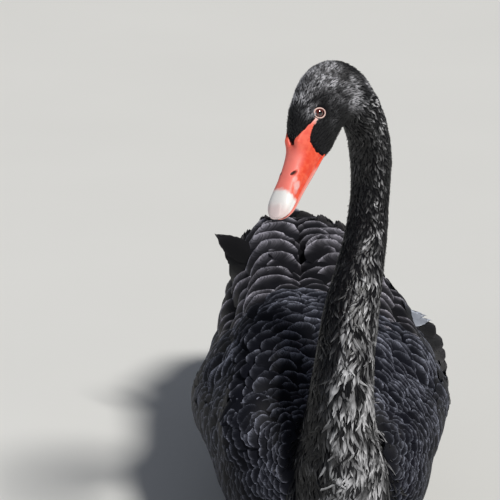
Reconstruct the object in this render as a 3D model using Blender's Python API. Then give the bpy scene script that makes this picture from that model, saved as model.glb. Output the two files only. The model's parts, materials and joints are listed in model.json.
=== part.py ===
"""A black swan resting on its belly, life size, in metres, +Z up.

The swan faces -Y and its left side is +X. The origin is the middle of the flat of the belly, on the floor.
Every part of the body is one closed solid, and neighbours keep a hairline gap.
"""

from math import cos, pi, radians, sin

import bmesh
import bpy
import numpy as np

# The swan's own sizes, in metres
GAP = 0.0003
BODY_FRONT = -0.194
BODY_REAR = 0.318
HEAD_AT = np.array([-0.0211, -0.1868, 0.4854])
HEAD_TURN = radians(33.5)
HEAD_DROP = radians(33)
HEAD_TILT = radians(12)
BILL_LENGTH = 0.106
MOUTH_GAP = 0.0004
EYE_RADIUS = 0.0062
EYE_AT = (0.0025, 0.0117, 0.0052)
BACK_SHIFT = -0.020
# The left wing is held a little looser than the right one, most of all behind its wrist
WING_SLACK = {1: 0.010, -1: -0.003}
SLACK_AT = 0.12
SLACK_REACH = 0.09
NOSTRIL_AT = (0.0625, -0.0135)
NOSTRIL_HALF_LENGTH = 0.0045
NOSTRIL_HALF_HEIGHT = 0.0013
NOSTRIL_SLOPE = -0.12
MOUTH_RISE = 0.006
LOWER_BILL_SHORT = 0.005
LOWER_BILL_SHARE = 0.90
LIP = 0.0006
TOE_ROOT = (0.090, 0.046)
TOE_OUT = (-0.011, 0.004, 0.023)
TOE_REACH = (0.080, 0.100, 0.084)
TOE_THICK = (0.0086, 0.0078, 0.0066, 0.0072, 0.0060, 0.0066, 0.0056, 0.0050, 0.0014)
WEB_THICK = 0.0016
WEB_NOTCH = 0.016
HEEL_THICK = 0.0060
HEEL_WIDTH = 0.0040

# Trunk: place along Y, half width, top, bottom, height of the widest line
TRUNK = [
    (-0.194, 0.066, 0.122, 0.040, 0.084),
    (-0.165, 0.085, 0.146, 0.012, 0.087),
    (-0.120, 0.103, 0.170, -0.003, 0.092),
    (-0.060, 0.115, 0.191, -0.007, 0.097),
    (0.020, 0.119, 0.202, -0.008, 0.102),
    (0.110, 0.111, 0.207, -0.006, 0.110),
    (0.190, 0.090, 0.209, 0.010, 0.122),
    (0.260, 0.064, 0.199, 0.060, 0.136),
    (0.318, 0.044, 0.180, 0.105, 0.144),
]

# Wing: place along Y, then its middle's distance out and height, half height, half thickness, lean in degrees
WING = [
    (-0.140, 0.0740, 0.148, 0.040, 0.012, 42),
    (-0.100, 0.0715, 0.152, 0.052, 0.020, 43),
    (-0.040, 0.0690, 0.160, 0.076, 0.027, 45),
    (0.040, 0.0670, 0.167, 0.089, 0.029, 45),
    (0.130, 0.0600, 0.177, 0.080, 0.028, 43),
    (0.210, 0.0510, 0.193, 0.067, 0.026, 40),
    (0.270, 0.0420, 0.200, 0.053, 0.020, 38),
    (0.330, 0.0290, 0.194, 0.033, 0.012, 36),
    (0.376, 0.0180, 0.184, 0.016, 0.007, 30),
]

# Tail: place along Y, half width, middle height, half thickness
TAIL = [
    (0.255, 0.034, 0.146, 0.024),
    (0.310, 0.046, 0.150, 0.016),
    (0.355, 0.056, 0.153, 0.009),
    (0.398, 0.058, 0.157, 0.005),
]

# Head, in its own frame: forward of the eyes, above them, half width, half height, narrowing to the crown
HEAD = [
    (0.0330, -0.0150, 0.0152, 0.0205, 0.14),
    (0.0150, -0.0105, 0.0176, 0.0302, 0.14),
    (-0.0020, -0.0055, 0.0188, 0.0338, 0.14),
    (-0.0200, -0.0030, 0.0210, 0.0348, 0.11),
    (-0.0370, -0.0085, 0.0220, 0.0322, 0.07),
    (-0.0500, -0.0235, 0.0220, 0.0282, 0.03),
    (-0.0545, -0.0420, 0.0217, 0.0245, 0.0),
]

# Neck, from the nape down: place, half width, half depth
NECK = [
    (0.0397, -0.1118, 0.4285, 0.0217, 0.0228),
    (0.0399, -0.1077, 0.3782, 0.0202, 0.0217),
    (0.0356, -0.1141, 0.3387, 0.0224, 0.0232),
    (0.0274, -0.1278, 0.3015, 0.0258, 0.0266),
    (0.0198, -0.1464, 0.2672, 0.0285, 0.0300),
    (0.0142, -0.1609, 0.2316, 0.0302, 0.0338),
    (0.0108, -0.1662, 0.1935, 0.0332, 0.0400),
    (0.0099, -0.1613, 0.1500, 0.0400, 0.0480),
    (0.0106, -0.1572, 0.1100, 0.0495, 0.0540),
    (0.0115, -0.1431, 0.0760, 0.0550, 0.0500),
    (0.0130, -0.1109, 0.0540, 0.0540, 0.0400),
]

# Bill, in the head's frame: forward of the eyes, half width, top, mouth line, depth of the lower half
BILL = [
    (0.0335, 0.0140, 0.0020, -0.0275, 0.0050),
    (0.0450, 0.0129, -0.0035, -0.0290, 0.0052),
    (0.0580, 0.0118, -0.0082, -0.0302, 0.0048),
    (0.0700, 0.0116, -0.0118, -0.0310, 0.0042),
    (0.0820, 0.0123, -0.0148, -0.0317, 0.0036),
    (0.0930, 0.0124, -0.0182, -0.0323, 0.0030),
    (0.1060, 0.0112, -0.0245, -0.0330, 0.0024),
]

# Leg, from the foot up into the plumage: out and back from the toe root, height, radius
LEG = [
    (0.0005, 0.0016, 0.0050, 0.0050),
    (0.0010, 0.0450, 0.0048, 0.0048),
    (0.0010, 0.0850, 0.0060, 0.0060),
    (0.0000, 0.1010, 0.0105, 0.0072),
    (-0.0040, 0.0960, 0.0210, 0.0085),
    (-0.0100, 0.0780, 0.0400, 0.0120),
]

# Finish of each kind of surface: colour, roughness
FINISH = {
    "plumage": ((0.012, 0.012, 0.015), 0.55),
    "bill_red": ((0.72, 0.06, 0.03), 0.35),
    "eye_dark": ((0.05, 0.010, 0.006), 0.08),
    "foot_skin": ((0.030, 0.030, 0.034), 0.50),
}


def clear_scene():
    for thing in list(bpy.data.objects):
        bpy.data.objects.remove(thing, do_unlink=True)


def collection(name):
    group = bpy.data.collections.new(name)
    bpy.context.scene.collection.children.link(group)
    return group


def finish(node, kind):
    colour, roughness = FINISH[kind]
    material = bpy.data.materials.new(node + "_" + kind)
    material.use_nodes = True
    shader = material.node_tree.nodes["Principled BSDF"]
    shader.inputs["Base Color"].default_value = (*colour, 1)
    shader.inputs["Roughness"].default_value = roughness
    shader.inputs["Metallic"].default_value = 0
    return material


def smooth_table(rows, at):
    """Values of a table at any places along its first column, on a curve through its rows."""
    table = np.array(rows, float)
    x, y = table[:, 0], table[:, 1:]
    slope = np.gradient(y, x, axis=0)
    at = np.clip(np.atleast_1d(at), x[0], x[-1])
    i = np.clip(np.searchsorted(x, at, side="right") - 1, 0, len(x) - 2)
    step = (x[i + 1] - x[i])[:, None]
    u = ((at - x[i]) / (x[i + 1] - x[i]))[:, None]
    start = (2 * u**3 - 3 * u**2 + 1) * y[i] + (u**3 - 2 * u**2 + u) * step * slope[i]
    end = (3 * u**2 - 2 * u**3) * y[i + 1] + (u**3 - u**2) * step * slope[i + 1]
    return start + end


def round_end(distance, length, fullness=2.0):
    """A factor from 0 at an end to 1, that rounds the end over a length."""
    left = np.clip(1 - distance / length, 0, 1)
    return (1 - left**fullness) ** (1 / fullness)


def crowded(start, end, count, short=0.0):
    """Places from start to end, closer together towards both ends, which stop a little short."""
    places = start + (end - start) * (1 - np.cos(np.linspace(0, pi, count))) / 2
    places[0] += short
    places[-1] -= short
    return places


def ring_angles(count):
    return np.arange(count) * 2 * pi / count


def power(value, exponent):
    return np.sign(value) * np.abs(value) ** exponent


def loft(name, rings, group):
    """A closed solid through rings of points, with a fan at each end."""
    mesh = bmesh.new()
    loops = [[mesh.verts.new(point) for point in ring] for ring in rings]
    count = len(loops[0])
    for first, second in zip(loops, loops[1:]):
        for i in range(count):
            j = (i + 1) % count
            mesh.faces.new((first[i], first[j], second[j], second[i]))
    for loop in (loops[0], loops[-1]):
        middle = sum((v.co for v in loop), loop[0].co * 0) / count
        tip = mesh.verts.new(middle)
        for i in range(count):
            mesh.faces.new((loop[i], loop[(i + 1) % count], tip))
    bmesh.ops.remove_doubles(mesh, verts=mesh.verts, dist=0.00002)
    bmesh.ops.recalc_face_normals(mesh, faces=mesh.faces)
    data = bpy.data.meshes.new(name)
    mesh.to_mesh(data)
    mesh.free()
    data.shade_smooth()
    solid = bpy.data.objects.new(name, data)
    group.objects.link(solid)
    return solid


def as_cutter(solid):
    solid.hide_render = True
    solid.display_type = "WIRE"
    return solid


def cut(solid, cutter):
    step = solid.modifiers.new("cut_" + cutter.name, "BOOLEAN")
    step.operation = "DIFFERENCE"
    step.solver = "EXACT"
    step.object = cutter


def trunk_rings(grow=0.0, around=36, along=22):
    """The trunk as one egg of plumage, flat where it rests. Grown, it cuts what lies against it."""
    places = crowded(BODY_FRONT - grow, BODY_REAR + grow, along, short=0.0006)
    half, top, bottom, wide = smooth_table(TRUNK, places).T
    front = round_end(places - BODY_FRONT + grow, 0.070, 2.0)
    rear = round_end(BODY_REAR + grow - places, 0.050, 2.0)
    shrink = front * rear
    theta = ring_angles(around)
    rings = []
    for k, place in enumerate(places):
        across = power(np.cos(theta), 0.98) * half[k] * shrink[k]
        up = np.where(np.sin(theta) > 0, top[k] - wide[k], wide[k] - bottom[k]) * shrink[k]
        rise = power(np.sin(theta), np.where(np.sin(theta) > 0, 0.95, 1.06)) * up
        x = across + grow * np.cos(theta)
        z = wide[k] + rise + grow * np.sin(theta)
        z = np.maximum(z, -grow)
        rings.append(np.stack([x, np.full(around, place), z], 1))
    return rings


def wing_rings(side, around=22, along=22):
    """A folded wing: a long lens that leans on the body, blunt at the wrist and pointed at the tip."""
    places = crowded(WING[0][0], WING[-1][0], along, short=0.0004)
    out, height, half, thick, lean = smooth_table(WING, places).T
    front = round_end(places - WING[0][0], 0.060)
    rear = round_end(WING[-1][0] - places, 0.030)
    theta = ring_angles(around)
    slack = WING_SLACK[side] * np.exp(-(((places - SLACK_AT) / SLACK_REACH) ** 2))
    rings = []
    for k, place in enumerate(places):
        along_z = np.sin(theta) * half[k] * front[k] * rear[k]
        through = np.cos(theta) * thick[k] * front[k] * rear[k]
        tip = radians(lean[k])
        x = out[k] + slack[k] - along_z * sin(tip) + through * cos(tip)
        z = height[k] + along_z * cos(tip) + through * sin(tip)
        shift = BACK_SHIFT * (1 + np.sin(theta)) / 2
        rings.append(np.stack([side * np.maximum(x, 0.0012) + shift, np.full(around, place), z], 1))
    return rings


def tail_rings(grow=0.0, around=20, along=10):
    """The short tail: a thin fan of feathers with a rounded end."""
    places = np.linspace(TAIL[0][0] - grow, TAIL[-1][0] + grow, along)
    half, height, thick = smooth_table(TAIL, places).T
    rear = round_end(TAIL[-1][0] + grow - places + 0.0006, 0.030)
    theta = ring_angles(around)
    rings = []
    for k, place in enumerate(places):
        x = power(np.cos(theta), 0.9) * (half[k] * rear[k] + grow)
        z = height[k] + np.sin(theta) * (thick[k] * (0.5 + 0.5 * rear[k]) + grow)
        rings.append(np.stack([x, np.full(around, place), z], 1))
    return rings


def head_axes():
    """Forward, left and up of the head, which turns to the swan's right, drops its bill and tilts."""
    forward = np.array([
        -sin(HEAD_TURN) * cos(HEAD_DROP),
        -cos(HEAD_TURN) * cos(HEAD_DROP),
        -sin(HEAD_DROP),
    ])
    level = np.array([cos(HEAD_TURN), -sin(HEAD_TURN), 0.0])
    left = cos(HEAD_TILT) * level + sin(HEAD_TILT) * np.cross(forward, level)
    return forward, left, np.cross(forward, left)


def in_head(points):
    """World places of points given as forward, left and up of the middle between the eyes."""
    return HEAD_AT + np.asarray(points, float) @ np.array(head_axes())


def throat_path():
    """One line from the face through the head and down the neck, with the size of the body round it."""
    _, left, _ = head_axes()
    rows = []
    for forward, up, across, deep, narrow in HEAD:
        rows.append([*in_head((forward, 0, up)), across, deep, narrow, *left])
    for x, y, z, across, deep in NECK:
        rows.append([x, y, z, across, deep, 0.0, 1.0, 0.0, 0.0])
    rows = np.array(rows)
    steps = np.linalg.norm(np.diff(rows[:, :3], axis=0), axis=1)
    along = np.concatenate([[0], np.cumsum(steps)])
    return np.column_stack([along, rows])


def throat_rings(start, end, count, around=24):
    """Rings of the head and neck between two distances along their line."""
    path = throat_path()
    places = np.linspace(start, end, count)
    values = smooth_table(path, places)
    ahead = smooth_table(path, places + 0.001)[:, :3] - smooth_table(path, places - 0.001)[:, :3]
    theta = ring_angles(around)
    rings = []
    for k in range(count):
        centre = values[k, :3]
        across, deep, narrow = values[k, 3:6]
        line = ahead[k] / np.linalg.norm(ahead[k])
        side = values[k, 6:9] - line * (values[k, 6:9] @ line)
        side /= np.linalg.norm(side)
        back = np.cross(side, line)
        wide = np.cos(theta) * across * (1 - narrow * np.sin(theta))
        high = np.sin(theta) * deep
        rings.append(centre + wide[:, None] * side + high[:, None] * back)
    return rings


def face_lean():
    """How far the flat of the face leans forward for each unit up, square to the line of the head."""
    return (HEAD[1][1] - HEAD[0][1]) / (HEAD[0][0] - HEAD[1][0])


def bill_rows(count, inset=0.0):
    """Sizes of the bill from the face to the tip, with its rounded end."""
    places = BILL[0][0] + (BILL_LENGTH - inset - BILL[0][0]) * np.sin(np.linspace(0, pi / 2, count))
    half, top, mouth, lower = smooth_table(BILL, places).T
    nose = round_end(BILL_LENGTH - inset - places + 0.0004, 0.016, 2.2)
    lean = face_lean() * np.clip(1 - (places - BILL[0][0]) / 0.020, 0, 1)
    return places, half * nose, top, mouth, lower, nose, lean


def upper_bill_rings(around=24, count=16):
    """The upper bill: domed above, flat at the mouth, with the nail hooked over the tip."""
    theta = ring_angles(around)
    rings = []
    for place, half, top, mouth, _, nose, lean in zip(*bill_rows(count)):
        side = power(np.cos(theta), 0.80) * half
        high = np.where(np.sin(theta) > 0, top - mouth - MOUTH_RISE, MOUTH_RISE) * nose
        up = mouth + MOUTH_RISE + power(np.sin(theta), np.where(np.sin(theta) > 0, 0.92, 0.45)) * high
        forward = place + lean * (up - HEAD[0][1])
        rings.append(in_head(np.stack([forward, side, up], 1)))
    return rings


def lower_bill_rings(around=20, count=12):
    """The lower bill: a shallow trough shape that closes against the upper one."""
    theta = ring_angles(around)
    rings = []
    for place, half, _, mouth, lower, nose, lean in zip(*bill_rows(count, LOWER_BILL_SHORT)):
        side = power(np.cos(theta), 0.75) * half * LOWER_BILL_SHARE
        seat = mouth - MOUTH_GAP - LIP
        up = seat + np.sin(theta) * np.where(np.sin(theta) > 0, LIP, lower * nose)
        forward = place + lean * (up - HEAD[0][1])
        rings.append(in_head(np.stack([forward, side, up], 1)))
    return rings


def ball(name, centre, radius, group, rows=10, around=16):
    mesh = bmesh.new()
    bmesh.ops.create_uvsphere(mesh, u_segments=around, v_segments=rows, radius=radius)
    bmesh.ops.translate(mesh, verts=mesh.verts, vec=centre)
    data = bpy.data.meshes.new(name)
    mesh.to_mesh(data)
    mesh.free()
    data.shade_smooth()
    solid = bpy.data.objects.new(name, data)
    group.objects.link(solid)
    return solid


def tube(name, points, radii, group, around=12):
    """A tapering limb through a few points, flattened where it lies on the floor."""
    rings = []
    theta = ring_angles(around)
    for k, centre in enumerate(points):
        ahead = points[min(k + 1, len(points) - 1)] - points[max(k - 1, 0)]
        ahead /= np.linalg.norm(ahead)
        side = np.cross(ahead, (0, 0, 1.0))
        side /= np.linalg.norm(side)
        up = np.cross(side, ahead)
        ring = centre + radii[k] * (np.cos(theta)[:, None] * side + np.sin(theta)[:, None] * up)
        ring[:, 2] = np.maximum(ring[:, 2], 0)
        rings.append(ring)
    return loft(name, rings, group)


def build_wings(parts, cutters):
    body = as_cutter(loft("trunk_cut", trunk_rings(GAP), cutters))
    tail = as_cutter(loft("tail_cut", tail_rings(GAP), cutters))
    for name, side in (("wing_left", 1), ("wing_right", -1)):
        wing = loft(name, wing_rings(side), parts)
        cut(wing, body)
        cut(wing, tail)
    return body


def build_tail(parts, body):
    tail = loft("tail", tail_rings(), parts)
    cut(tail, body)


def build_head_and_neck(parts, cutters, body):
    """The head and three lengths of neck share one line, and the lowest is cut to the breast."""
    length = throat_path()[:, 0]
    nape = length[len(HEAD) - 1] - 0.012
    middle = length[len(HEAD) + 2]
    low = length[len(HEAD) + 4] + 0.010
    pieces = [
        ("head", 0.0, nape, 12, 24),
        ("neck_upper", nape + GAP, middle, 9, 22),
        ("neck_middle", middle + GAP, low, 7, 22),
        ("neck_lower", low + GAP, length[-1], 10, 22),
    ]
    for name, start, end, count, around in pieces:
        piece = loft(name, throat_rings(start, end, count, around), parts)
        if name == "neck_lower":
            cut(piece, body)
        if name == "head":
            cut_eyes(piece, parts, cutters)


def cut_eyes(head, parts, cutters):
    """Each eye is a ball in a socket of its own, set with its front just proud of the face."""
    for name, side in (("eye_left", 1), ("eye_right", -1)):
        centre = in_head((EYE_AT[0], side * EYE_AT[1], EYE_AT[2]))
        ball(name, centre, EYE_RADIUS, parts)
        socket = as_cutter(ball(name + "_socket", centre, EYE_RADIUS + GAP, cutters))
        cut(head, socket)


def build_bill(parts, cutters):
    """The two halves of the bill, with the open nostril that runs through the upper one."""
    upper = loft("bill_upper", upper_bill_rings(), parts)
    loft("bill_lower", lower_bill_rings(), parts)
    forward, up = NOSTRIL_AT
    theta = ring_angles(10)
    ahead = NOSTRIL_HALF_LENGTH * np.cos(theta)
    rise = NOSTRIL_HALF_HEIGHT * np.sin(theta) + NOSTRIL_SLOPE * ahead
    hole = []
    for side in (-0.03, 0.03):
        hole.append(in_head(np.stack([forward + ahead, np.full(10, side), up + rise], 1)))
    cut(upper, as_cutter(loft("nostril_cut", hole, cutters)))


def build_leg(side, name, parts, body):
    """The shank lies on the floor under the flank, and turns up at the hock into the plumage."""
    x, y = TOE_ROOT
    points = [np.array((side * (x + out), y + behind, height)) for out, behind, height, _ in LEG]
    leg = tube(name, points, [row[3] for row in LEG], parts)
    cut(leg, body)


def foot_rings(side):
    """A webbed foot flat on the floor: three toes fan out from the root, thick where a knuckle lies."""
    across = np.array([-1.16, -1.0, -0.84, -0.5, -0.16, 0.0, 0.16, 0.5, 0.84, 1.0, 1.16])
    from_toe = np.abs(across - np.round(across))
    tip_out = np.interp(across, (-1, 0, 1), TOE_OUT)
    tip_reach = np.interp(across, (-1, 0, 1), TOE_REACH) - WEB_NOTCH * np.abs(np.sin(pi * across)) ** 0.7
    rings = []
    for share, knuckle in zip(np.linspace(0, 1, 9), TOE_THICK):
        x = TOE_ROOT[0] + across * HEEL_WIDTH * (1 - share) + tip_out * share
        y = TOE_ROOT[1] - tip_reach * share
        web = WEB_THICK + HEEL_THICK * max(0, 1 - share * 5)
        z = np.select([from_toe < 0.01, from_toe < 0.2], [knuckle, (knuckle + web) / 2], web)
        top = np.stack([side * x, y, z], 1)
        bottom = np.stack([side * x[::-1], y[::-1], 0 * x], 1)
        rings.append(np.concatenate([top, bottom]))
    return rings


def main():
    clear_scene()
    parts = collection("black_swan")
    cutters = collection("cutters")
    loft("trunk", trunk_rings(), parts)
    body = build_wings(parts, cutters)
    build_tail(parts, body)
    build_head_and_neck(parts, cutters, body)
    build_bill(parts, cutters)
    for label, side in (("left", 1), ("right", -1)):
        build_leg(side, "leg_" + label, parts, body)
        loft("foot_" + label, foot_rings(side), parts)
    kinds = {"bill": "bill_red", "eye": "eye_dark", "foot": "foot_skin", "leg": "foot_skin"}
    for node in parts.objects:
        node.data.materials.append(finish(node.name, kinds.get(node.name.split("_")[0], "plumage")))


main()
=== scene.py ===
# %% [markdown]
# # A black swan at rest
# This file dresses the swan's solids as a museum mount: skin, feathers, bill, eyes and feet. It reads only the
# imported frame. Each step first says what the real thing is, then how it is made here and why.

# %% Open the frame
import json
from math import cos, pi, radians, sin

import bmesh
import bpy
import numpy as np
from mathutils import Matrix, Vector
from mathutils.bvhtree import BVHTree

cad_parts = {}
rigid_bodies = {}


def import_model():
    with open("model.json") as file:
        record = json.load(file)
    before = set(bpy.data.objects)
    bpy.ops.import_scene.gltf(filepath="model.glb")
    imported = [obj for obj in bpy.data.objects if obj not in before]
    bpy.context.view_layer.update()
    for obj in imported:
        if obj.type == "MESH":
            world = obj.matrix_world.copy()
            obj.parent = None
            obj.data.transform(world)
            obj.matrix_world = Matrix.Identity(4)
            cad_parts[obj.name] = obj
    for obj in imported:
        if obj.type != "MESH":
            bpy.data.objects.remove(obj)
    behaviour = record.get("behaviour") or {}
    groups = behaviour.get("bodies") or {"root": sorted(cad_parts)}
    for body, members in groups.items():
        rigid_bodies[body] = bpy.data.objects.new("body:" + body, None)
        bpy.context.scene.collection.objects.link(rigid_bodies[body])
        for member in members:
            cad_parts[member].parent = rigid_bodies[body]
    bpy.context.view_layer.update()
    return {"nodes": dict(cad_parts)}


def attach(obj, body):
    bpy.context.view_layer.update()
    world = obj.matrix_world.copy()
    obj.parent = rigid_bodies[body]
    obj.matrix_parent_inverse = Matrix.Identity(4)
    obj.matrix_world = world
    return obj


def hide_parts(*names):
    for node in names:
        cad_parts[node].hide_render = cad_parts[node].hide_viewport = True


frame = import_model()
nodes = frame["nodes"]

# %% [markdown]
# ## The camera
# A long lens from in front and a little above gives the flat look of a telephoto picture. The place and angle are
# named, because everything else is judged through them.

# %% Camera
CAMERA_AT = (-0.1426, -2.6693, 1.161)
CAMERA_TILT = radians(72)
CAMERA_TURN = radians(-1.5)
lens = bpy.data.cameras.new("camera")
lens.lens = 200
lens.sensor_width = 36
lens.clip_start = 0.1
camera = bpy.data.objects.new("camera", lens)
camera.location = CAMERA_AT
camera.rotation_euler = (CAMERA_TILT, 0, CAMERA_TURN)
bpy.context.collection.objects.link(camera)
bpy.context.scene.camera = camera

# %% [markdown]
# ## One line from face to breast
# A swan's head and neck are one bending tube. A few named stations give its middle line and thickness, and every
# feather on the head and neck asks this line which way is "down the neck". The head has its own frame of
# directions, so that the bill and eyes can be sized as if the head looked straight ahead.

# %% Head frame and neck line
HEAD_AT = np.array([-0.0211, -0.1868, 0.4854])
HEAD_TURN, HEAD_DROP, HEAD_TILT = radians(33.5), radians(33), radians(12)
FORWARD = np.array([-sin(HEAD_TURN) * cos(HEAD_DROP), -cos(HEAD_TURN) * cos(HEAD_DROP), -sin(HEAD_DROP)])
LEVEL = np.array([cos(HEAD_TURN), -sin(HEAD_TURN), 0.0])
LEFT = cos(HEAD_TILT) * LEVEL + sin(HEAD_TILT) * np.cross(FORWARD, LEVEL)
UP = np.cross(FORWARD, LEFT)
HEAD_AXES = np.array([FORWARD, LEFT, UP])
# forward and up of the stations through the head, then the neck's places from the nape down
HEAD_LINE = [(0.033, -0.015), (0.015, -0.0105), (-0.002, -0.0055), (-0.02, -0.003), (-0.037, -0.0085),
             (-0.05, -0.0235), (-0.0545, -0.042)]
NECK_LINE = [(0.0397, -0.1118, 0.4285), (0.0399, -0.1077, 0.3782), (0.0356, -0.1141, 0.3387),
             (0.0274, -0.1278, 0.3015), (0.0198, -0.1464, 0.2672), (0.0142, -0.1609, 0.2316),
             (0.0108, -0.1662, 0.1935), (0.0099, -0.1613, 0.15), (0.0106, -0.1572, 0.11), (0.0115, -0.1431, 0.076)]


def in_head(points):
    return HEAD_AT + np.asarray(points, float) @ HEAD_AXES


def to_head(points):
    return (np.asarray(points, float) - HEAD_AT) @ HEAD_AXES.T


def curve_table(rows, at):
    """Values of a table at any places along its first column, on a smooth curve through its rows."""
    table = np.array(rows, float)
    x, y = table[:, 0], table[:, 1:]
    slope = np.gradient(y, x, axis=0)
    at = np.clip(np.atleast_1d(at), x[0], x[-1])
    i = np.clip(np.searchsorted(x, at, side="right") - 1, 0, len(x) - 2)
    step = (x[i + 1] - x[i])[:, None]
    u = ((at - x[i]) / (x[i + 1] - x[i]))[:, None]
    start = (2 * u**3 - 3 * u**2 + 1) * y[i] + (u**3 - 2 * u**2 + u) * step * slope[i]
    return start + (3 * u**2 - 2 * u**3) * y[i + 1] + (u**3 - u**2) * step * slope[i + 1]


stations = np.vstack([in_head([(f, 0, u) for f, u in HEAD_LINE]), NECK_LINE])
reach = np.concatenate([[0], np.cumsum(np.linalg.norm(np.diff(stations, axis=0), axis=1))])
LINE_STEPS = 260
BLOCK = 4000
line_at = np.linspace(0, reach[-1], LINE_STEPS)
line_points = curve_table(np.column_stack([reach, stations]), line_at)
line_ahead = np.gradient(line_points, line_at, axis=0)
line_ahead /= np.linalg.norm(line_ahead, axis=1, keepdims=True)
NAPE_AT = reach[len(HEAD_LINE) - 1]
print("head and neck line", round(reach[-1] * 1000), "mm, of which the head", round(NAPE_AT * 1000), "mm")


def nearest_on_line(points):
    """For each point: distance along the line, the line's direction there, and the step out from it."""
    points = np.asarray(points, float)
    best = np.empty(len(points), int)
    for start in range(0, len(points), BLOCK):
        part = slice(start, start + BLOCK)
        best[part] = ((points[part, None] - line_points[None]) ** 2).sum(2).argmin(1)
    return line_at[best], line_ahead[best], points - line_points[best]


def unit(vectors):
    return vectors / np.maximum(np.linalg.norm(vectors, axis=-1, keepdims=True), 1e-9)


def laid_flat(vectors, normals):
    """Unit directions of vectors once their part along the normals is taken away."""
    return unit(vectors - normals * (vectors * normals).sum(1, keepdims=True))


def smooth(value, low, high):
    """A soft step from 0 at low to 1 at high."""
    t = np.clip((value - low) / (high - low), 0, 1)
    return t * t * (3 - 2 * t)


# %% [markdown]
# ## The skin
# Under the feathers a bird is one continuous skin. The solids of trunk, wings and tail are melted into one form with
# voxels. It is swollen, melted again and drawn back, which fills the creases where a wing lies on the side, as a
# folded wing sinks into the flank. Then the neck and head are melted on, the whole is smoothed, and it is drawn in
# by the depth of the plumage, so that the feathers, not the skin, reach the true outline. One place on the right
# wing is drawn in further, because that wing is pressed closer to the side than the left one.

# %% Sizes of the skin
BODY = ("trunk", "wing_left", "wing_right", "tail")
FRONT = ("head", "neck_upper", "neck_middle", "neck_lower")
FLESH = FRONT + BODY
EYES = ("eye_left", "eye_right")
VOXEL = 0.0028
BODY_VOXEL = 0.0045
CLOSING = 0.040
ROUNDING = 0.030
KEPT_SHARE = 0.5
# depth of the plumage over each solid
DEPTH = {"head": 0.0014, "neck_upper": 0.0018, "neck_middle": 0.0020, "neck_lower": 0.0026,
         "trunk": 0.0046, "wing_left": 0.0044, "wing_right": 0.0044, "tail": 0.0026}
BARE_DEPTH = 0.0006
# where the right wing is pressed closer to the side than the left, over what size, and how deep
PRESSED_AT, PRESSED_SIZE, PRESSED_BY = (-0.105, 0.060, 0.172), (0.060, 0.110, 0.040), 0.009
print("skin from", len(FLESH), "solids, voxels of", VOXEL * 1000, "mm")

# %% [markdown]
# A mesh is a list of points and a list of faces. These helpers read both as arrays, which is fast, build a new piece
# from them, and run an edit or a modifier on a piece until it is plain mesh again. The last two give a piece its
# finish and place in the frame, and store a value for each of its points.

# %% Helpers for meshes
def mesh_arrays(data):
    """Points and triangles of a mesh."""
    data.calc_loop_triangles()
    corners = np.empty(len(data.loop_triangles) * 3, int)
    data.loop_triangles.foreach_get("vertices", corners)
    return vertex_array(data), corners.reshape(-1, 3)


def vertex_array(data, normals=False):
    """Places of a mesh's points, or the normals there."""
    values = np.empty(len(data.vertices) * 3)
    if normals:
        data.vertex_normals.foreach_get("vector", values)
    else:
        data.vertices.foreach_get("co", values)
    return values.reshape(-1, 3)


def search_tree(points, faces):
    """A tree that finds the nearest face, or the first one along a line of sight."""
    return BVHTree.FromPolygons(points.tolist(), faces.tolist())


def joined(names):
    """Points and triangles of some solids together, and for each triangle the number of its solid."""
    points, faces, owner, count = [], [], [], 0
    for index, name in enumerate(names):
        p, f = mesh_arrays(nodes[name].data)
        world = np.array(nodes[name].matrix_world)
        points.append(p @ world[:3, :3].T + world[:3, 3])
        faces.append(f + count)
        owner += [index] * len(f)
        count += len(p)
    return np.vstack(points), np.vstack(faces), np.array(owner)


def new_object(name, data):
    piece = bpy.data.objects.new(name, data)
    bpy.context.collection.objects.link(piece)
    return piece


def mesh_object(name, points, faces):
    data = bpy.data.meshes.new(name)
    data.from_pydata(np.asarray(points).tolist(), [], [tuple(int(i) for i in f) for f in faces])
    data.update()
    return new_object(name, data)


def edited(piece, work):
    """Runs one bmesh operation on a piece's mesh."""
    mesh = bmesh.new()
    mesh.from_mesh(piece.data)
    work(mesh)
    mesh.to_mesh(piece.data)
    mesh.free()
    piece.data.update()


def outward(piece):
    edited(piece, lambda mesh: bmesh.ops.recalc_face_normals(mesh, faces=mesh.faces))
    piece.data.shade_smooth()


def merged(piece):
    edited(piece, lambda mesh: bmesh.ops.remove_doubles(mesh, verts=mesh.verts, dist=0.00001))


def baked(piece):
    """The piece with its modifiers turned into plain mesh."""
    deps = bpy.context.evaluated_depsgraph_get()
    data = bpy.data.meshes.new_from_object(piece.evaluated_get(deps), preserve_all_data_layers=True, depsgraph=deps)
    piece.modifiers.clear()
    old = piece.data
    piece.data = data
    bpy.data.meshes.remove(old)
    data.name = piece.name
    return piece


def placed(piece, slot, finish, *replaced):
    """Gives a piece its finish and its body, and names the solids that it replaces. The slot is not used."""
    piece.data.materials.clear()
    piece.data.materials.append(finish)
    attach(piece, "root")
    if replaced:
        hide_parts(*replaced)


def stored(data, label, values, kind="FLOAT"):
    """Stores one value of a kind for each point of a mesh."""
    field = "value" if kind in ("FLOAT", "QUATERNION") else "vector"
    data.attributes.new(label, kind, "POINT").data.foreach_set(field, np.ascontiguousarray(values).ravel())


# %% [markdown]
# Trunk, wings and tail are melted first. A wing that lies on the side leaves a crease that no bird has, so the form is
# swollen until the crease closes and drawn back again. At the front it is also shrunk and swollen, which rounds ridges.

# %% Melt the body into one form
def melted(piece, voxel, rounds, kept=None):
    """Remeshes a piece with voxels, relaxes it, and thins it out where asked."""
    melt = piece.modifiers.new("melt", "REMESH")
    melt.mode = "VOXEL"
    melt.voxel_size = voxel
    relax = piece.modifiers.new("relax", "SMOOTH")
    relax.factor = 0.5
    relax.iterations = rounds
    if kept:
        thin = piece.modifiers.new("thin_out", "DECIMATE")
        thin.ratio = kept
    return baked(piece)


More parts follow.
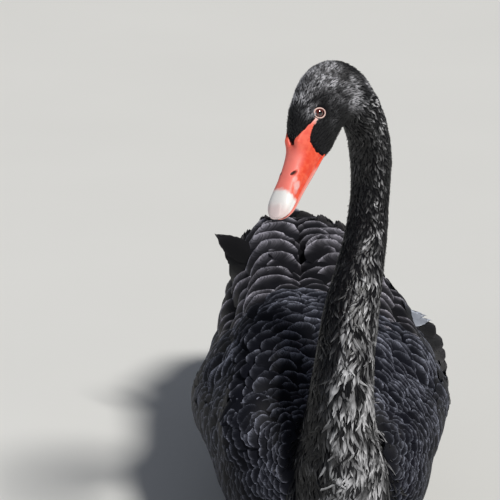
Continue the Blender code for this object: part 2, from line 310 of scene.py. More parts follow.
def pushed(piece, amount):
    """Moves every point of a piece outwards by an amount, a number or one for each point."""
    points = vertex_array(piece.data) + vertex_array(piece.data, normals=True) * np.reshape(amount, (-1, 1))
    piece.data.vertices.foreach_set("co", points.ravel())
    piece.data.update()
    return points


def closing_at(piece):
    """How far creases are filled: most at the front, least between the wings, where the back keeps its furrow."""
    points = vertex_array(piece.data)
    rear = smooth(points[:, 1], -0.02, 0.10)
    furrow = rear * smooth(points[:, 1], 0.23, 0.19) * smooth(points[:, 2], 0.165, 0.200)
    return CLOSING * (1 - 0.55 * rear * smooth(points[:, 1], 0.28, 0.22)) * (1 - 0.75 * furrow)


def rounding_at(piece):
    """How far ridges are rounded: only at the front, as the wing tips are thin."""
    return ROUNDING * (1 - smooth(vertex_array(piece.data)[:, 1], 0.04, 0.14))


body_form = mesh_object("body_form", *joined(BODY)[:2])
merged(body_form)
melted(body_form, BODY_VOXEL, 1)
pushed(body_form, closing_at(body_form))
melted(body_form, BODY_VOXEL, 2)
pushed(body_form, -closing_at(body_form) - rounding_at(body_form))
melted(body_form, BODY_VOXEL, 2)
pushed(body_form, rounding_at(body_form))
print("body form:", len(body_form.data.vertices), "points")

# %% [markdown]
# Head and neck are melted onto the body form. Each point of the skin then asks which solid it came from, and sinks by
# the depth of the plumage there. The bare face hardly sinks.

# %% Build the skin
form_points, form_faces = vertex_array(body_form.data), [tuple(face.vertices) for face in body_form.data.polygons]
front_points, front_faces, _ = joined(FRONT + EYES)
skin = mesh_object("swan_skin", np.vstack([form_points, front_points]),
                   form_faces + (front_faces + len(form_points)).tolist())
bpy.data.objects.remove(body_form)
merged(skin)
melted(skin, VOXEL, 5, KEPT_SHARE)

flesh_points, flesh_faces, flesh_owner = joined(FLESH + EYES)
solid_tree = search_tree(flesh_points, flesh_faces)


def part_of(points):
    """Index into FLESH of the solid nearest each point."""
    near = [solid_tree.find_nearest(Vector(p)) for p in points]
    owner = flesh_owner[[hit[2] for hit in near]]
    return np.where(owner >= len(FLESH), 0, owner)


skin_points = vertex_array(skin.data)
skin_owner = part_of(skin_points)
depth = np.array([DEPTH[n] for n in FLESH])[skin_owner]
pressed = np.exp(-(((skin_points - PRESSED_AT) / PRESSED_SIZE) ** 2).sum(1)) * smooth(-skin_points[:, 0], 0.060, 0.090)
depth = depth + PRESSED_BY * pressed
bare = smooth(to_head(skin_points)[:, 0], 0.002, 0.010) * (skin_owner == 0)
skin_points = pushed(skin, -(depth * (1 - bare) + BARE_DEPTH * bare))
skin.data.shade_smooth()
skin_normals = vertex_array(skin.data, normals=True)
_, skin_tris = mesh_arrays(skin.data)
skin_tree = search_tree(skin_points, skin_tris)
print("skin:", len(skin_points), "points,", len(skin_tris), "triangles")

# %% [markdown]
# ## Which way the feathers lie
# Feathers point away from the bill: down the neck, out over the breast like water from a spring, then back along
# the body. On the head and neck the direction is that of the middle line. On the body it is a steady drift towards
# the tail plus a push away from the foot of the neck.

# %% Direction of the plumage
NECK_FOOT = np.array([0.012, -0.149, 0.125])
SPRING = 0.0140


def lie_at(points, normals, owner):
    """Unit directions along the skin in which feathers point."""
    _, ahead, _ = nearest_on_line(points)
    away = points - NECK_FOOT
    gap = np.linalg.norm(away, axis=1, keepdims=True)
    body = np.array([0.0, 1.0, 0.0]) + SPRING * away / gap**3
    neck = np.where(owner < 3, 1.0, np.where(owner == 3, smooth(points[:, 2], 0.10, 0.20), 0.0))[:, None]
    return laid_flat(neck * ahead + (1 - neck) * unit(body), normals)


def unwrap(points):
    """Places of points on a flat map of the skin: the body is unrolled round its length, the neck round its line."""
    s, ahead, out = nearest_on_line(points)
    around = np.arctan2(points[:, 0] + 0.004, points[:, 2] - 0.110) / (2 * pi) + 0.5
    back = np.clip((points[:, 1] + 0.22) / 0.64, 0, 1)
    body = np.column_stack([0.02 + 0.60 * around, 0.02 + 0.96 * back])
    side = unit(np.cross(ahead, np.array([0.0, -1.0, 0.0]) + 0 * ahead))
    front = np.cross(side, ahead)
    turn = np.arctan2((out * side).sum(1), (out * front).sum(1)) / (2 * pi) + 0.5
    neck = np.column_stack([0.65 + 0.33 * turn, 0.02 + 0.96 * s / reach[-1]])
    return body, neck


# %% [markdown]
# ## Scattering the roots
# Feathers grow at even distances, neither in a grid nor at pure random. Many random places are drawn on the skin,
# then taken one by one, and each one taken clears an oval round it. The oval's size is the spacing wanted there.

# %% Scatter roots over the skin
TRIES = 9


def scatter(seed, chosen, spacing):
    """Evenly spaced places on the chosen parts of the skin: point, normal, lie and part of each. The spacing gives
    the wanted distances across and along the lie."""
    rng = np.random.default_rng(seed)
    a, b, c = (skin_points[skin_tris[:, k]] for k in range(3))
    owner = skin_owner[skin_tris[:, 0]]
    middle = (a + b + c) / 3
    area = np.linalg.norm(np.cross(b - a, c - a), axis=1) / 2
    across, along = spacing(middle)
    want = np.where(np.isin(owner, chosen), area / (across * along), 0)
    count = int(want.sum() * TRIES)
    pick = rng.choice(len(want), count, p=want / want.sum())
    u, v = rng.random((2, count))
    flip = u + v > 1
    u, v = np.where(flip, 1 - u, u), np.where(flip, 1 - v, v)
    points = a[pick] + u[:, None] * (b - a)[pick] + v[:, None] * (c - a)[pick]
    weights = np.column_stack([1 - u - v, u, v])[:, :, None]
    normals = unit((skin_normals[skin_tris[pick]] * weights).sum(1))
    owners = owner[pick]
    across, along = spacing(points)
    lie = lie_at(points, normals, owners)
    side = np.cross(lie, normals)
    cell = max(across.max(), along.max())
    # only roots in the same or a neighbouring cell can be too close, so roots are kept in bins by cell
    keys = np.floor(points / cell).astype(int)
    bins = {}
    for i, key in enumerate(map(tuple, keys)):
        bins.setdefault(key, []).append(i)
    bins = {key: np.array(members) for key, members in bins.items()}
    alive = np.ones(count, bool)
    taken = []
    steps = [(x, y, z) for x in (-1, 0, 1) for y in (-1, 0, 1) for z in (-1, 0, 1)]
    near_cells = {}
    for i in range(count):
        if not alive[i]:
            continue
        taken.append(i)
        key = tuple(keys[i])
        if key not in near_cells:
            lists = [bins[n] for n in ((key[0] + x, key[1] + y, key[2] + z) for x, y, z in steps) if n in bins]
            near_cells[key] = np.concatenate(lists)
        near = near_cells[key]
        gap = points[near] - points[i]
        reach_across = (gap @ side[i]) / across[i]
        reach_along = (gap @ lie[i]) / along[i]
        alive[near[reach_across**2 + reach_along**2 + (gap @ normals[i] / cell) ** 2 < 1]] = False
        near_cells[key] = near[alive[near]]
    taken = np.array(taken)
    return points[taken], normals[taken], lie[taken], owners[taken]


# %% [markdown]
# ## One feather
# A feather is a thin closed blade: cupped across, arched at the tip, and frayed where its barbs part. Every kind of
# feather here comes from this one recipe with other sizes. Each point also remembers how far along and across the
# blade it is, for the colours.

# %% The feather recipe
# outlines: places along a feather and its width there, as a share of the greatest
ROUND_TIP = [(0, 0.24), (0.15, 0.60), (0.35, 0.93), (0.52, 1.0), (0.68, 0.97), (0.80, 0.87), (0.90, 0.68),
             (0.96, 0.44), (1, 0.20)]
LOCK = [(0, 0.30), (0.15, 0.80), (0.40, 1.0), (0.62, 0.85), (0.82, 0.52), (1, 0.10)]
LONG_BLADE = [(0, 0.20), (0.10, 0.50), (0.30, 0.86), (0.55, 1.0), (0.78, 0.97), (0.92, 0.76), (1, 0.48)]
POINTED = [(0, 0.22), (0.12, 0.56), (0.32, 0.92), (0.52, 1.0), (0.74, 0.84), (0.90, 0.50), (1, 0.14)]


def feather(name, rows, cols, outline, arc=0.10, cup=0.16, thick=0.05, notch=0.0, wave=0.0, sweep=0.0, ridge=0.0,
            seed=0):
    """A closed blade one long along Y and one wide across X, as a mesh object outside the scene. Arc draws the sides
    back at the tip, cup domes it across, notch frays it, wave ripples its edges and ridge lifts its quill."""
    rng = np.random.default_rng(seed)
    q = 1 - (1 - np.linspace(0, 1, rows)) ** 1.5
    v = np.linspace(-1, 1, cols)
    along, across = np.meshgrid(q, v, indexing="ij")
    half = curve_table(outline, q)[:, 0] / 2
    edge = smooth(np.abs(across), 0.55, 1.0)
    side_cut = rng.random((rows, 2)) ** 2 * smooth(q, 0.25, 0.6)[:, None]
    cut = np.where(across < 0, side_cut[:, :1], side_cut[:, 1:]) * edge * notch
    tip_cut = (rng.random(cols) ** 2)[None] * notch * 0.55 * along**14
    x = across * half[:, None] * (1 - cut) + sweep * along**2
    y = along * (1 - arc * across**2 * along**2) - tip_cut
    ripple = wave * np.sin(2 * pi * (along * 1.7 + 0.23 * seed)) * np.abs(across) ** 1.5 * np.sign(across)
    top = -cup * 4 * (across * half[:, None]) ** 2 + ripple * smooth(along, 0.2, 0.7)
    top = top + ridge * np.exp(-((across / 0.16) ** 2)) * (1 - along)
    under = top - thick * np.sqrt(1 - across**2) * (4 * along * (1 - along)) ** 0.3
    inner = (slice(1, -1), slice(1, -1))
    number = np.arange(rows * cols).reshape(rows, cols)
    below = number.copy()
    below[inner] = rows * cols + np.arange((rows - 2) * (cols - 2)).reshape(rows - 2, cols - 2)
    points = np.vstack([np.column_stack([axis[part].ravel() for axis in (x, y, height)])
                        for part, height in ((..., top), (inner, under))])
    faces = []
    for i in range(rows - 1):
        for j in range(cols - 1):
            faces.append([int(number[i + a, j + b]) for a, b in ((0, 0), (0, 1), (1, 1), (1, 0))])
            faces.append([int(below[i + a, j + b]) for a, b in ((0, 0), (1, 0), (1, 1), (0, 1))])
    data = bpy.data.meshes.new(name)
    data.from_pydata(points.tolist(), [], faces)
    data.shade_smooth()
    for label, grid in (("along", along), ("across", across)):
        stored(data, label, np.concatenate([grid.ravel(), grid[inner].ravel()]))
    rim = set(number[0]) | set(number[-1]) | set(number[:, 0]) | set(number[:, -1])
    sharp = [e.vertices[0] in rim and e.vertices[1] in rim for e in data.edges]
    data.attributes.new("sharp_edge", "BOOLEAN", "EDGE").data.foreach_set("value", sharp)
    return bpy.data.objects.new(name, data)


def drawer(name, count, rows, cols, outline, spread, **look):
    """A collection of feather shapes that differ in their sweep and fraying, kept out of the scene."""
    group = bpy.data.collections.new(name + "s")
    for k in range(count):
        sweep = (k - (count - 1) / 2) * spread
        group.objects.link(feather(f"{name}_{k}", rows, cols, outline, sweep=sweep, seed=k, **look))
    return group


# %% [markdown]
# ## The plumage tree
# Geometry Nodes puts a feather on every root, turns and scales it, makes it real mesh, and bends it so that its tip
# ends where it should. It also writes each feather's small patch on the flat map of the skin. A tree is the right
# tool, because one small set of feather shapes serves thousands of roots, and every kind of plumage shares it.

# %% Build the plumage tree
def plug(target, value):
    """Joins a socket to a node's input, or sets the input to a plain value."""
    if isinstance(value, bpy.types.NodeSocket):
        target.id_data.links.new(value, target)
    else:
        target.default_value = value


def add_node(tree, kind, inputs=(), **settings):
    """A new node with its settings, and a socket or a plain value in each of its named or numbered inputs."""
    made = tree.nodes.new(kind)
    for key, value in settings.items():
        setattr(made, key, value)
    for key, value in dict(inputs).items():
        plug(made.inputs[key], value)
    return made


def plumage_tree():
    tree = bpy.data.node_groups.new("plumage", "GeometryNodeTree")
    for label, kind in (("Roots", "Geometry"), ("Feathers", "Collection"), ("Finish", "Material"), ("Size", "Float"),
                        ("Bend power", "Float"), ("Patch", "Float"), ("Shapes", "Int"), ("Seed", "Int")):
        tree.interface.new_socket(label, in_out="INPUT", socket_type="NodeSocket" + kind)
    tree.interface.new_socket("Plumage", in_out="OUTPUT", socket_type="NodeSocketGeometry")

    def add(kind, inputs=(), output=0, **settings):
        return add_node(tree, kind, inputs, **settings).outputs[output]

    def root(label, kind):
        return add("GeometryNodeInputNamedAttribute", {"Name": label}, "Attribute", data_type=kind)

    def scaled(vector, scale):
        return add("ShaderNodeVectorMath", {0: vector, "Scale": scale}, operation="SCALE")

    given = add_node(tree, "NodeGroupInput").outputs
    shapes = add("GeometryNodeCollectionInfo", {"Collection": given["Feathers"], "Separate Children": True,
                                                "Reset Children": True})
    last = add("ShaderNodeMath", {0: given["Shapes"], 1: 1}, operation="SUBTRACT")
    choice = add("FunctionNodeRandomValue", {5: last, "Seed": given["Seed"]}, 2, data_type="INT")
    rooted = add("GeometryNodeInstanceOnPoints", {
        "Points": given["Roots"], "Instance": shapes, "Pick Instance": True, "Instance Index": choice,
        "Rotation": root("turn", "QUATERNION"), "Scale": scaled(root("size", "FLOAT_VECTOR"), given["Size"])})
    real = add("GeometryNodeRealizeInstances", {0: rooted})
    along = root("along", "FLOAT")
    share = add("ShaderNodeMath", {0: along, 1: given["Bend power"]}, operation="POWER")
    bend = scaled(root("bend", "FLOAT_VECTOR"), share)
    bent = add("GeometryNodeSetPosition", {"Geometry": real, "Offset": bend})
    half_across = add("ShaderNodeMath", {0: root("across", "FLOAT"), 1: 0.5}, operation="MULTIPLY")
    patch = scaled(add("ShaderNodeCombineXYZ", {0: half_across, 1: along}), given["Patch"])
    where = add("ShaderNodeVectorMath", {0: patch, 1: root("spot", "FLOAT_VECTOR")}, operation="ADD")
    mapped = add("GeometryNodeStoreNamedAttribute", {"Name": "OFBake", "Geometry": bent, "Value": where},
                 data_type="FLOAT2", domain="CORNER")
    final = add("GeometryNodeRealizeInstances", {0: mapped})
    painted = add("GeometryNodeSetMaterial", {"Geometry": final, "Material": given["Finish"]})
    add_node(tree, "NodeGroupOutput", {0: painted})
    return tree


TREE = plumage_tree()
print("plumage tree:", len(TREE.nodes), "nodes")

# %% [markdown]
# ## Growing one piece of plumage
# The tree needs the turn, size and bend of each feather. A feather should leave the skin at a tilt and end just above
# it, even where the skin curves away, so the skin is asked for the place under the tip, and the bend is what brings
# the tip there. A middle that would cut through the skin tilts the feather up.

# %% Grow one piece of plumage
PATCH = 0.003
CLEAR = 0.05
MOST_BEND = 0.60
ROOT_ONLY = ("turn", "size", "bend", "spot")


def turns(x, y, z):
    """Quaternions, real part first, of frames with these unit axes."""
    signs = ((1, 1, 1), (1, -1, -1), (-1, 1, -1), (-1, -1, 1))
    w, i, j, k = (np.sqrt(np.maximum(0, 1 + a * x[:, 0] + b * y[:, 1] + c * z[:, 2])) / 2 for a, b, c in signs)
    return np.column_stack([w, np.copysign(i, y[:, 2] - z[:, 1]), np.copysign(j, z[:, 0] - x[:, 2]),
                            np.copysign(k, x[:, 1] - y[:, 0])])


def on_skin(points):
    """Nearest places on the skin and the normals there."""
    spots, normals = np.empty_like(points), np.empty_like(points)
    for i, point in enumerate(points):
        spots[i], normals[i], _, _ = skin_tree.find_nearest(Vector(point))
    return spots, normals


def plume(name, roots, shapes, finish, width, length, tilt, tip_height, yaw=0.0, sink=0.0005, sweep=0.0, tone=0.5,
          frost=0.5, bend=None, power=2.0, seed=1, on_neck=False):
    """Grows one piece of plumage from roots, which are (points, normals, lie). Sizes are in metres and angles in
    radians, as numbers or arrays. Without a given bend, each feather is bent until its tip is above the skin by the
    tip height, and first tilted up as far as it needs to clear the skin at its middle by a share of its length."""
    points, normals, lie = roots
    count = len(points)
    width, length, tilt, tip_height, yaw, sweep, tone, frost = (
        np.broadcast_to(np.asarray(value, float), count) for value in
        (width, length, tilt, tip_height, yaw, sweep, tone, frost))
    level = lie * np.cos(yaw)[:, None] + np.cross(lie, normals) * np.sin(yaw)[:, None]
    side = np.cross(level, normals)
    base = points - normals * sink
    free = bend is None
    if free:
        tip, tip_normal = on_skin(points + level * length[:, None])
        tip = tip + tip_normal * tip_height[:, None]
        middle = on_skin(points + level * length[:, None] * 0.5)[0] - (0.75 * base + 0.25 * tip)
        short = (middle * normals).sum(1) - 0.25 * length * np.sin(tilt) + CLEAR * length
        tilt = tilt + np.clip(4 * short / length, 0, 0.45)
    blade = level * np.cos(tilt)[:, None] + normals * np.sin(tilt)[:, None]
    if free:
        bend = tip - (base + blade * length[:, None])
        most = MOST_BEND * length / np.maximum(np.linalg.norm(bend, axis=1), 1e-9)
        bend = bend * np.minimum(most, 1)[:, None]
    data = bpy.data.meshes.new(name)
    data.from_pydata(base.tolist(), [], [])
    stored(data, "turn", turns(side, blade, np.cross(side, blade)), "QUATERNION")
    stored(data, "size", np.column_stack([width, length, width]), "FLOAT_VECTOR")
    stored(data, "bend", bend + side * (sweep * length)[:, None], "FLOAT_VECTOR")
    stored(data, "spot", np.column_stack([unwrap(points)[on_neck], np.zeros(count)]), "FLOAT_VECTOR")
    stored(data, "tone", tone)
    stored(data, "frost", frost)
    piece = new_object(name, data)
    grow = piece.modifiers.new("grow", "NODES")
    grow.node_group = TREE
    values = {"Feathers": shapes, "Finish": finish, "Size": 1.0, "Bend power": power, "Patch": PATCH,
              "Shapes": len(shapes.objects), "Seed": seed}
    for item in TREE.interface.items_tree:
        if item.name in values:
            grow[item.identifier] = values[item.name]
    baked(piece)
    for label in ROOT_ONLY:
        if label in piece.data.attributes:
            piece.data.attributes.remove(piece.data.attributes[label])
    placed(piece, "plumage", finish)
    piece.data.calc_loop_triangles()
    print(name, count, "feathers,", len(piece.data.loop_triangles), "triangles")


# %% [markdown]
# ## Finishes
# A finish is a few nodes: attributes or noise, a little arithmetic, a blend of colours. Short helpers keep each finish
# readable. They find their tree from the socket they are given. Most dull things waver between two near colours, so
# one helper makes that whole finish.

# %% Helpers for shader nodes
def calc(operation, first, *others, clamp=False):
    """One step of arithmetic on a socket and further sockets or numbers."""
    return add_node(first.id_data, "ShaderNodeMath", enumerate((first, *others)), operation=operation,
                    use_clamp=clamp).outputs[0]


def times(product, *others):
    for value in others:
        product = calc("MULTIPLY", product, value)
    return product


def plus(total, *others):
    for value in others:
        total = calc("ADD", total, value)
    return total


def ramp(value, low, high, start=0.0, end=1.0):
    """A smooth step from start to end while the value goes from low to high."""
    return add_node(value.id_data, "ShaderNodeMapRange", enumerate((value, low, high, start, end)),
                    interpolation_type="SMOOTHSTEP").outputs[0]


def blend(share, first, second):
    """The first colour where the share is 0, the second where it is 1."""
    return add_node(share.id_data, "ShaderNodeMix", {0: share, 6: first, 7: second}, data_type="RGBA").outputs[2]


def attribute(tree, name, output="Fac"):
    return add_node(tree, "ShaderNodeAttribute", attribute_name=name).outputs[output]


def noise(place, scale, detail=2.0, rough=0.5):
    return add_node(place.id_data, "ShaderNodeTexNoise", {"Vector": place, "Scale": scale, "Detail": detail,
                                                          "Roughness": rough}).outputs["Fac"]


def object_place(tree):
    return add_node(tree, "ShaderNodeTexCoord").outputs["Object"]


def bump(height, strength, distance):
    return add_node(height.id_data, "ShaderNodeBump", {"Height": height, "Strength": strength,
                                                       "Distance": distance}).outputs["Normal"]


def feed(node, **values):
    """Joins or sets named inputs of a node. Names have _ for a space."""
    for label, value in values.items():
        plug(node.inputs[label.replace("_", " ")], value)
    return node


def material(name, **numbers):
    """A new material, its node tree and its shader, with plain values for some of the shader's inputs."""
    made = bpy.data.materials.new(name)
    made.use_nodes = True
    return made, made.node_tree, feed(made.node_tree.nodes["Principled BSDF"], **numbers)


def speckled(name, scale, first, second, relief=None, **numbers):
    """A finish that wavers between two colours. The same noise gives its relief: a strength and a distance."""
    made, tree, shader = material(name, **numbers)
    speck = noise(object_place(tree), scale)
    feed(shader, Base_Color=blend(speck, (*first, 1), (*second, 1)))
    if relief:
        feed(shader, Normal=bump(speck, *relief))
    return made

# %% [markdown]
# ## Colour of the feathers
# A black swan is not evenly black: each feather is darkest in the middle and has a frayed, greyer edge, and the
# crown and nape carry a painted grey sheen. One shared node group makes this from three things each feather knows: how
# far along it a point is, how far across, and its frost value, which is pale tone on the body and painted sheen and
# glints on head and neck. The shader itself stays outside.

# %% The feather colour group
BASE_ROUGH = 0.42
RELIEF, RELIEF_DEPTH = 0.25, 0.0006


def new_group(name, inputs, outputs):
    """An empty shader group with named sockets, its input sockets and its output node."""
    tree = bpy.data.node_groups.new(name, "ShaderNodeTree")
    for side, sockets in (("INPUT", inputs), ("OUTPUT", outputs)):
        for label, kind in sockets.items():
            tree.interface.new_socket(label, in_out=side, socket_type="NodeSocket" + kind)
    return tree, add_node(tree, "NodeGroupInput").outputs, add_node(tree, "NodeGroupOutput")


feather_look, given, out = new_group(
    "feather_look", {"Dark": "Color", "Pale": "Color", "Rim": "Float", "Veil": "Float", "Barbs": "Float"},
    {"Color": "Color", "Height": "Float", "Roughness": "Float"})
along, aside, tone, frost = (attribute(feather_look, name) for name in ("along", "across", "tone", "frost"))
across = calc("ABSOLUTE", aside)
barb_line = times(calc("SUBTRACT", along, times(across, 0.45)), given["Barbs"])
barb_place = add_node(feather_look, "ShaderNodeCombineXYZ", {0: barb_line, 1: times(aside, 1.3), 2: times(tone, 40.0)})
barbs = noise(barb_place.outputs[0], 1.0, 3.0)
cloud = noise(object_place(feather_look), 55.0, 3.0, 0.6)
# a pale rim along the outer sides and over the tip, broken up by the barbs
side_rim = times(calc("POWER", across, 9.0), ramp(along, 0.50, 0.85))
rim = calc("MAXIMUM", side_rim, calc("POWER", along, 13.0))
edge = times(rim, given["Rim"], calc("MULTIPLY_ADD", ramp(barbs, 0.36, 0.62), 0.8, 0.2),
             calc("MULTIPLY_ADD", frost, 1.1, 0.25))
# a veil of grey that thickens towards the tip and comes in clouds; where the frost value is high on head and neck it is
# painted sheen
veil = times(frost, given["Veil"], calc("POWER", along, 1.4), ramp(cloud, 0.34, 0.66, 0.25, 1.0))
share = calc("ADD", edge, veil, clamp=True)
black = blend(calc("MULTIPLY_ADD", tone, 0.9, 0.5), (0, 0, 0, 1), given["Dark"])
feed(out, Color=blend(share, black, given["Pale"]), Height=barbs,
     Roughness=ramp(plus(share, times(cloud, 0.3)), 0.0, 1.0, BASE_ROUGH, 0.62))


def plumage_material(name, dark, pale, rim, veil, barbs, gloss=0.25, rough=0.46):
    made, tree, shader = material(name, Specular_IOR_Level=gloss)
    parts = feed(add_node(tree, "ShaderNodeGroup", node_tree=feather_look), Dark=(*dark, 1), Pale=(*pale, 1), Rim=rim,
                 Veil=veil, Barbs=barbs).outputs
    feed(shader, Base_Color=parts["Color"], Roughness=plus(parts["Roughness"], rough - BASE_ROUGH),
         Normal=bump(parts["Height"], RELIEF, RELIEF_DEPTH))
    return made


print("feather colour group:", len(feather_look.nodes), "nodes")

# %% [markdown]
# Each kind of plumage gets its own numbers: the dark and the pale colour, the strength of the pale rim and of the grey
# veil, and the number of barbs along a feather. Head and neck carry a painted grey sheen through the veil, body and
# wings are rimmed. The flight feathers are plainer, and the few that show under the left wing are white. The skin below
# is nearly black.

# %% Finishes of the plumage
INK = (0.0040, 0.0041, 0.0052)
head_finish = plumage_material("head_plumage", INK, (0.60, 0.60, 0.64), 0.3, 1.9, 12.0)
neck_finish = plumage_material("neck_plumage", INK, (0.60, 0.60, 0.62), 0.14, 1.5, 16.0, gloss=0.26, rough=0.30)
body_finish = plumage_material("body_plumage", (0.0040, 0.0045, 0.0078), (0.39, 0.41, 0.51), 0.95, 0.02, 34.0,
                               gloss=0.08, rough=0.52)
wing_finish = plumage_material("wing_plumage", (0.0056, 0.0054, 0.0074), (0.54, 0.52, 0.60), 1.2, 0.03, 60.0,
                               gloss=0.12, rough=0.52)
white_finish = plumage_material("white_plumage", (0.34, 0.37, 0.44), (0.62, 0.66, 0.75), 0.8, 0.6, 60.0)
flight_finish = plumage_material("flight_plumage", (0.0070, 0.0066, 0.0072), (0.12, 0.115, 0.125), 0.7, 0.02, 150.0)
skin_finish = speckled("skin_under_feathers", 900.0, (0.004, 0.004, 0.005), (0.012, 0.012, 0.014), (0.4, 0.0005),
                       Roughness=0.8, Specular_IOR_Level=0.05)
placed(skin, "plumage", skin_finish, *FLESH)
print("plumage finishes ready, skin replaces", len(FLESH), "solids")

# %% [markdown]
# ## Bare skin of the face
# Between bill and eye a swan has no feathers: a red patch narrows to a pale strip that meets the eyelid. Its edges
# are given as angles round the face at distances ahead of the eyes, in millimetres and degrees. The head feathers
# ask the same outline where they must stop.

# %% Outline of the bare skin
UPPER_EDGE = [(4.0, 46), (7.0, 48), (12.2, 48.5), (18.1, 55), (25.8, 63.4), (32.8, 74), (39.5, 90)]
LOWER_EDGE = [(4.0, 33), (8.0, 36), (12.0, 39), (19.3, 44), (26.0, 42.5), (29.9, 36)]
CHEEK_EDGE = [(-60, 24.0), (-47, 26.5), (-32, 29.0), (-7, 30.9), (17, 31.0), (36, 29.9)]


def middle_height(forward):
    """Height of the middle of the head, in millimetres, at a distance ahead of the eyes."""
    return np.interp(forward, (-20, -2, 15, 33), (-3, -5.5, -10.5, -15))


def face_angles(points):
    """Distance ahead of the eyes in millimetres and angle round the face in degrees."""
    place = to_head(points) * 1000
    angle = np.degrees(np.arctan2(place[:, 2] - middle_height(place[:, 0]), np.abs(place[:, 1])))
    return place[:, 0], angle, place


def on_edge(table, at):
    table = np.array(table, float)
    return np.interp(at, table[:, 0], table[:, 1])


def is_bare(points):
    ahead, angle, place = face_angles(points)
    strip = (angle > on_edge(LOWER_EDGE, ahead)) & (angle > 36) & (ahead > 5)
    cheek = (angle <= 36) & (ahead > on_edge(CHEEK_EDGE, angle))
    below_upper = angle < on_edge(UPPER_EDGE, ahead)
    eye = (np.hypot(place[:, 0] - 2.5, place[:, 2] - 5.2) < 5.6) & (np.abs(place[:, 1]) > 10)
    return below_upper & (strip | cheek | (ahead > 32.5)) | eye


# %% [markdown]
# ## Head feathers
# The shortest feathers of all: soft tufts a few millimetres long that lie flat and point back from the bill. A grey
# sheen is painted on them on the forehead and crown, behind the eye and at the nape, and they stay black near the bill.
# The painted sheen lies in soft clouds, listed by place in the head's frame, and noise breaks each cloud up.

# %% Grow the head feathers
HEAD, NECK_UP, NECK_MID, NECK_LOW, TRUNK, WING_L, WING_R, TAIL = range(8)
draw = np.random.default_rng(7)
# clouds of painted sheen: forward, left and up of each cloud in millimetres, its radius and its strength
SHEEN_CLOUDS = [(-8, 0, 31, 15, 1.0), (-26, 4, 30, 14, 1.0), (-41, 8, 23, 11, 0.8), (4, -7, 25, 10, 0.9), (8, -13, 14, 9, 0.6),
        (-27, 16, 15, 9, 0.8), (-34, 21, -2, 6, 0.6), (-37, 21, -19, 9, 1.2), (-41, 21, -31, 6, 0.8),
        (-66, 16, -20, 6, 0.7), (-50, 21, -7, 7, 0.65), (-17, 20, -2, 9, 0.45), (1, 19, -12, 7, 0.2)]


def field(points, size, seed):
    """A soft random field over space from 0 to 1, as a sum of a few slanting waves of about one size."""
    rng = np.random.default_rng(seed)
    total = np.zeros(len(points))
    for octave in (1.0, 1.9, 3.1):
        for _ in range(5):
            way = unit(rng.normal(size=3)) * 2 * pi / size * octave
            total += np.sin(points @ way + rng.random() * 6.28) / octave
    return np.clip(0.5 + total / 5.2, 0, 1)


def sheen_at(points):
    """How much grey sheen is painted on the head at each point, from 0 to about 1. Both sides of the head carry the
    same clouds.
    """
    place = to_head(points) * 1000
    grey = np.zeros(len(points))
    for forward, left, up, radius, strength in SHEEN_CLOUDS:
        for side in (left, -left):
            gap = ((place - (forward, side, up)) ** 2).sum(1) / radius**2
            grey = np.maximum(grey, strength * np.exp(-gap))
    broken = field(points, 0.016, 3) * 0.5 + field(points, 0.0060, 4) * 0.5
    return np.clip(grey * (0.35 + 1.3 * smooth(broken, 0.30, 0.66)), 0, 1)


def to_nape(points):
    """From 0 on the face to 1 at the nape."""
    return smooth(nearest_on_line(points)[0], NAPE_AT - 0.060, NAPE_AT + 0.012)


def head_spacing(points):
    """Distances between roots across and along, smallest on the face."""
    back = to_nape(points)
    return 0.00092 + 0.00055 * back, 0.00125 + 0.00090 * back


points, normals, lie, _ = scatter(11, [HEAD], head_spacing)
kept = ~is_bare(points) & ~((normals @ FORWARD > 0.75) & (to_head(points)[:, 0] > 0.028))
points, normals, lie = points[kept], normals[kept], lie[kept]
back = to_nape(points)
count = len(points)
tufts = drawer("tuft", 4, 4, 3, LOCK, 0.12, cup=0.22, thick=0.16)
# the frost value of the head feathers is the painted sheen of the clouds above
plume("head_feathers", (points, normals, lie), tufts, head_finish,
      width=(0.0014 + 0.0010 * back) * draw.uniform(0.8, 1.2, count),
      length=(0.0038 + 0.0034 * back) * draw.uniform(0.85, 1.25, count), tilt=draw.uniform(0.12, 0.34, count),
      tip_height=draw.uniform(0.0007, 0.0014, count) + 0.0006 * back, yaw=draw.normal(0, 0.15, count),
      sweep=draw.normal(0, 0.08, count), frost=np.clip(sheen_at(points) * draw.uniform(0.35, 1.35, count), 0.01, 1),
      tone=draw.random(count), sink=0.0004, seed=3, on_neck=True)

# %% [markdown]
# ## Neck feathers
# Down the neck the feathers are small loose locks with curled tips. Each tip catches the light as a comma, so the tips
# sweep to either side by uneven amounts, and on the lit side many tips are painted pale as glints. They grow longer
# towards the breast, where they hang like wet silk in wavy strands, and their silvery gloss is painted as pale streaks.

# %% Grow the neck feathers
curls = drawer("curl", 5, 5, 3, LOCK, 0.22, cup=0.30, thick=0.10)
locks = drawer("lock", 6, 7, 3, LOCK, 0.16, cup=0.30, thick=0.09, wave=0.04)


def neck_size(points):
    """From 0 at the nape to 1 on the breast."""
    return smooth(nearest_on_line(points)[0], NAPE_AT + 0.08, reach[-1] - 0.03)


def upper_spacing(points):
    return np.full(len(points), 0.00165), np.full(len(points), 0.0023)


def lower_spacing(points):
    big = neck_size(points)
    return 0.0017 + 0.0009 * big, 0.0027 + 0.0015 * big
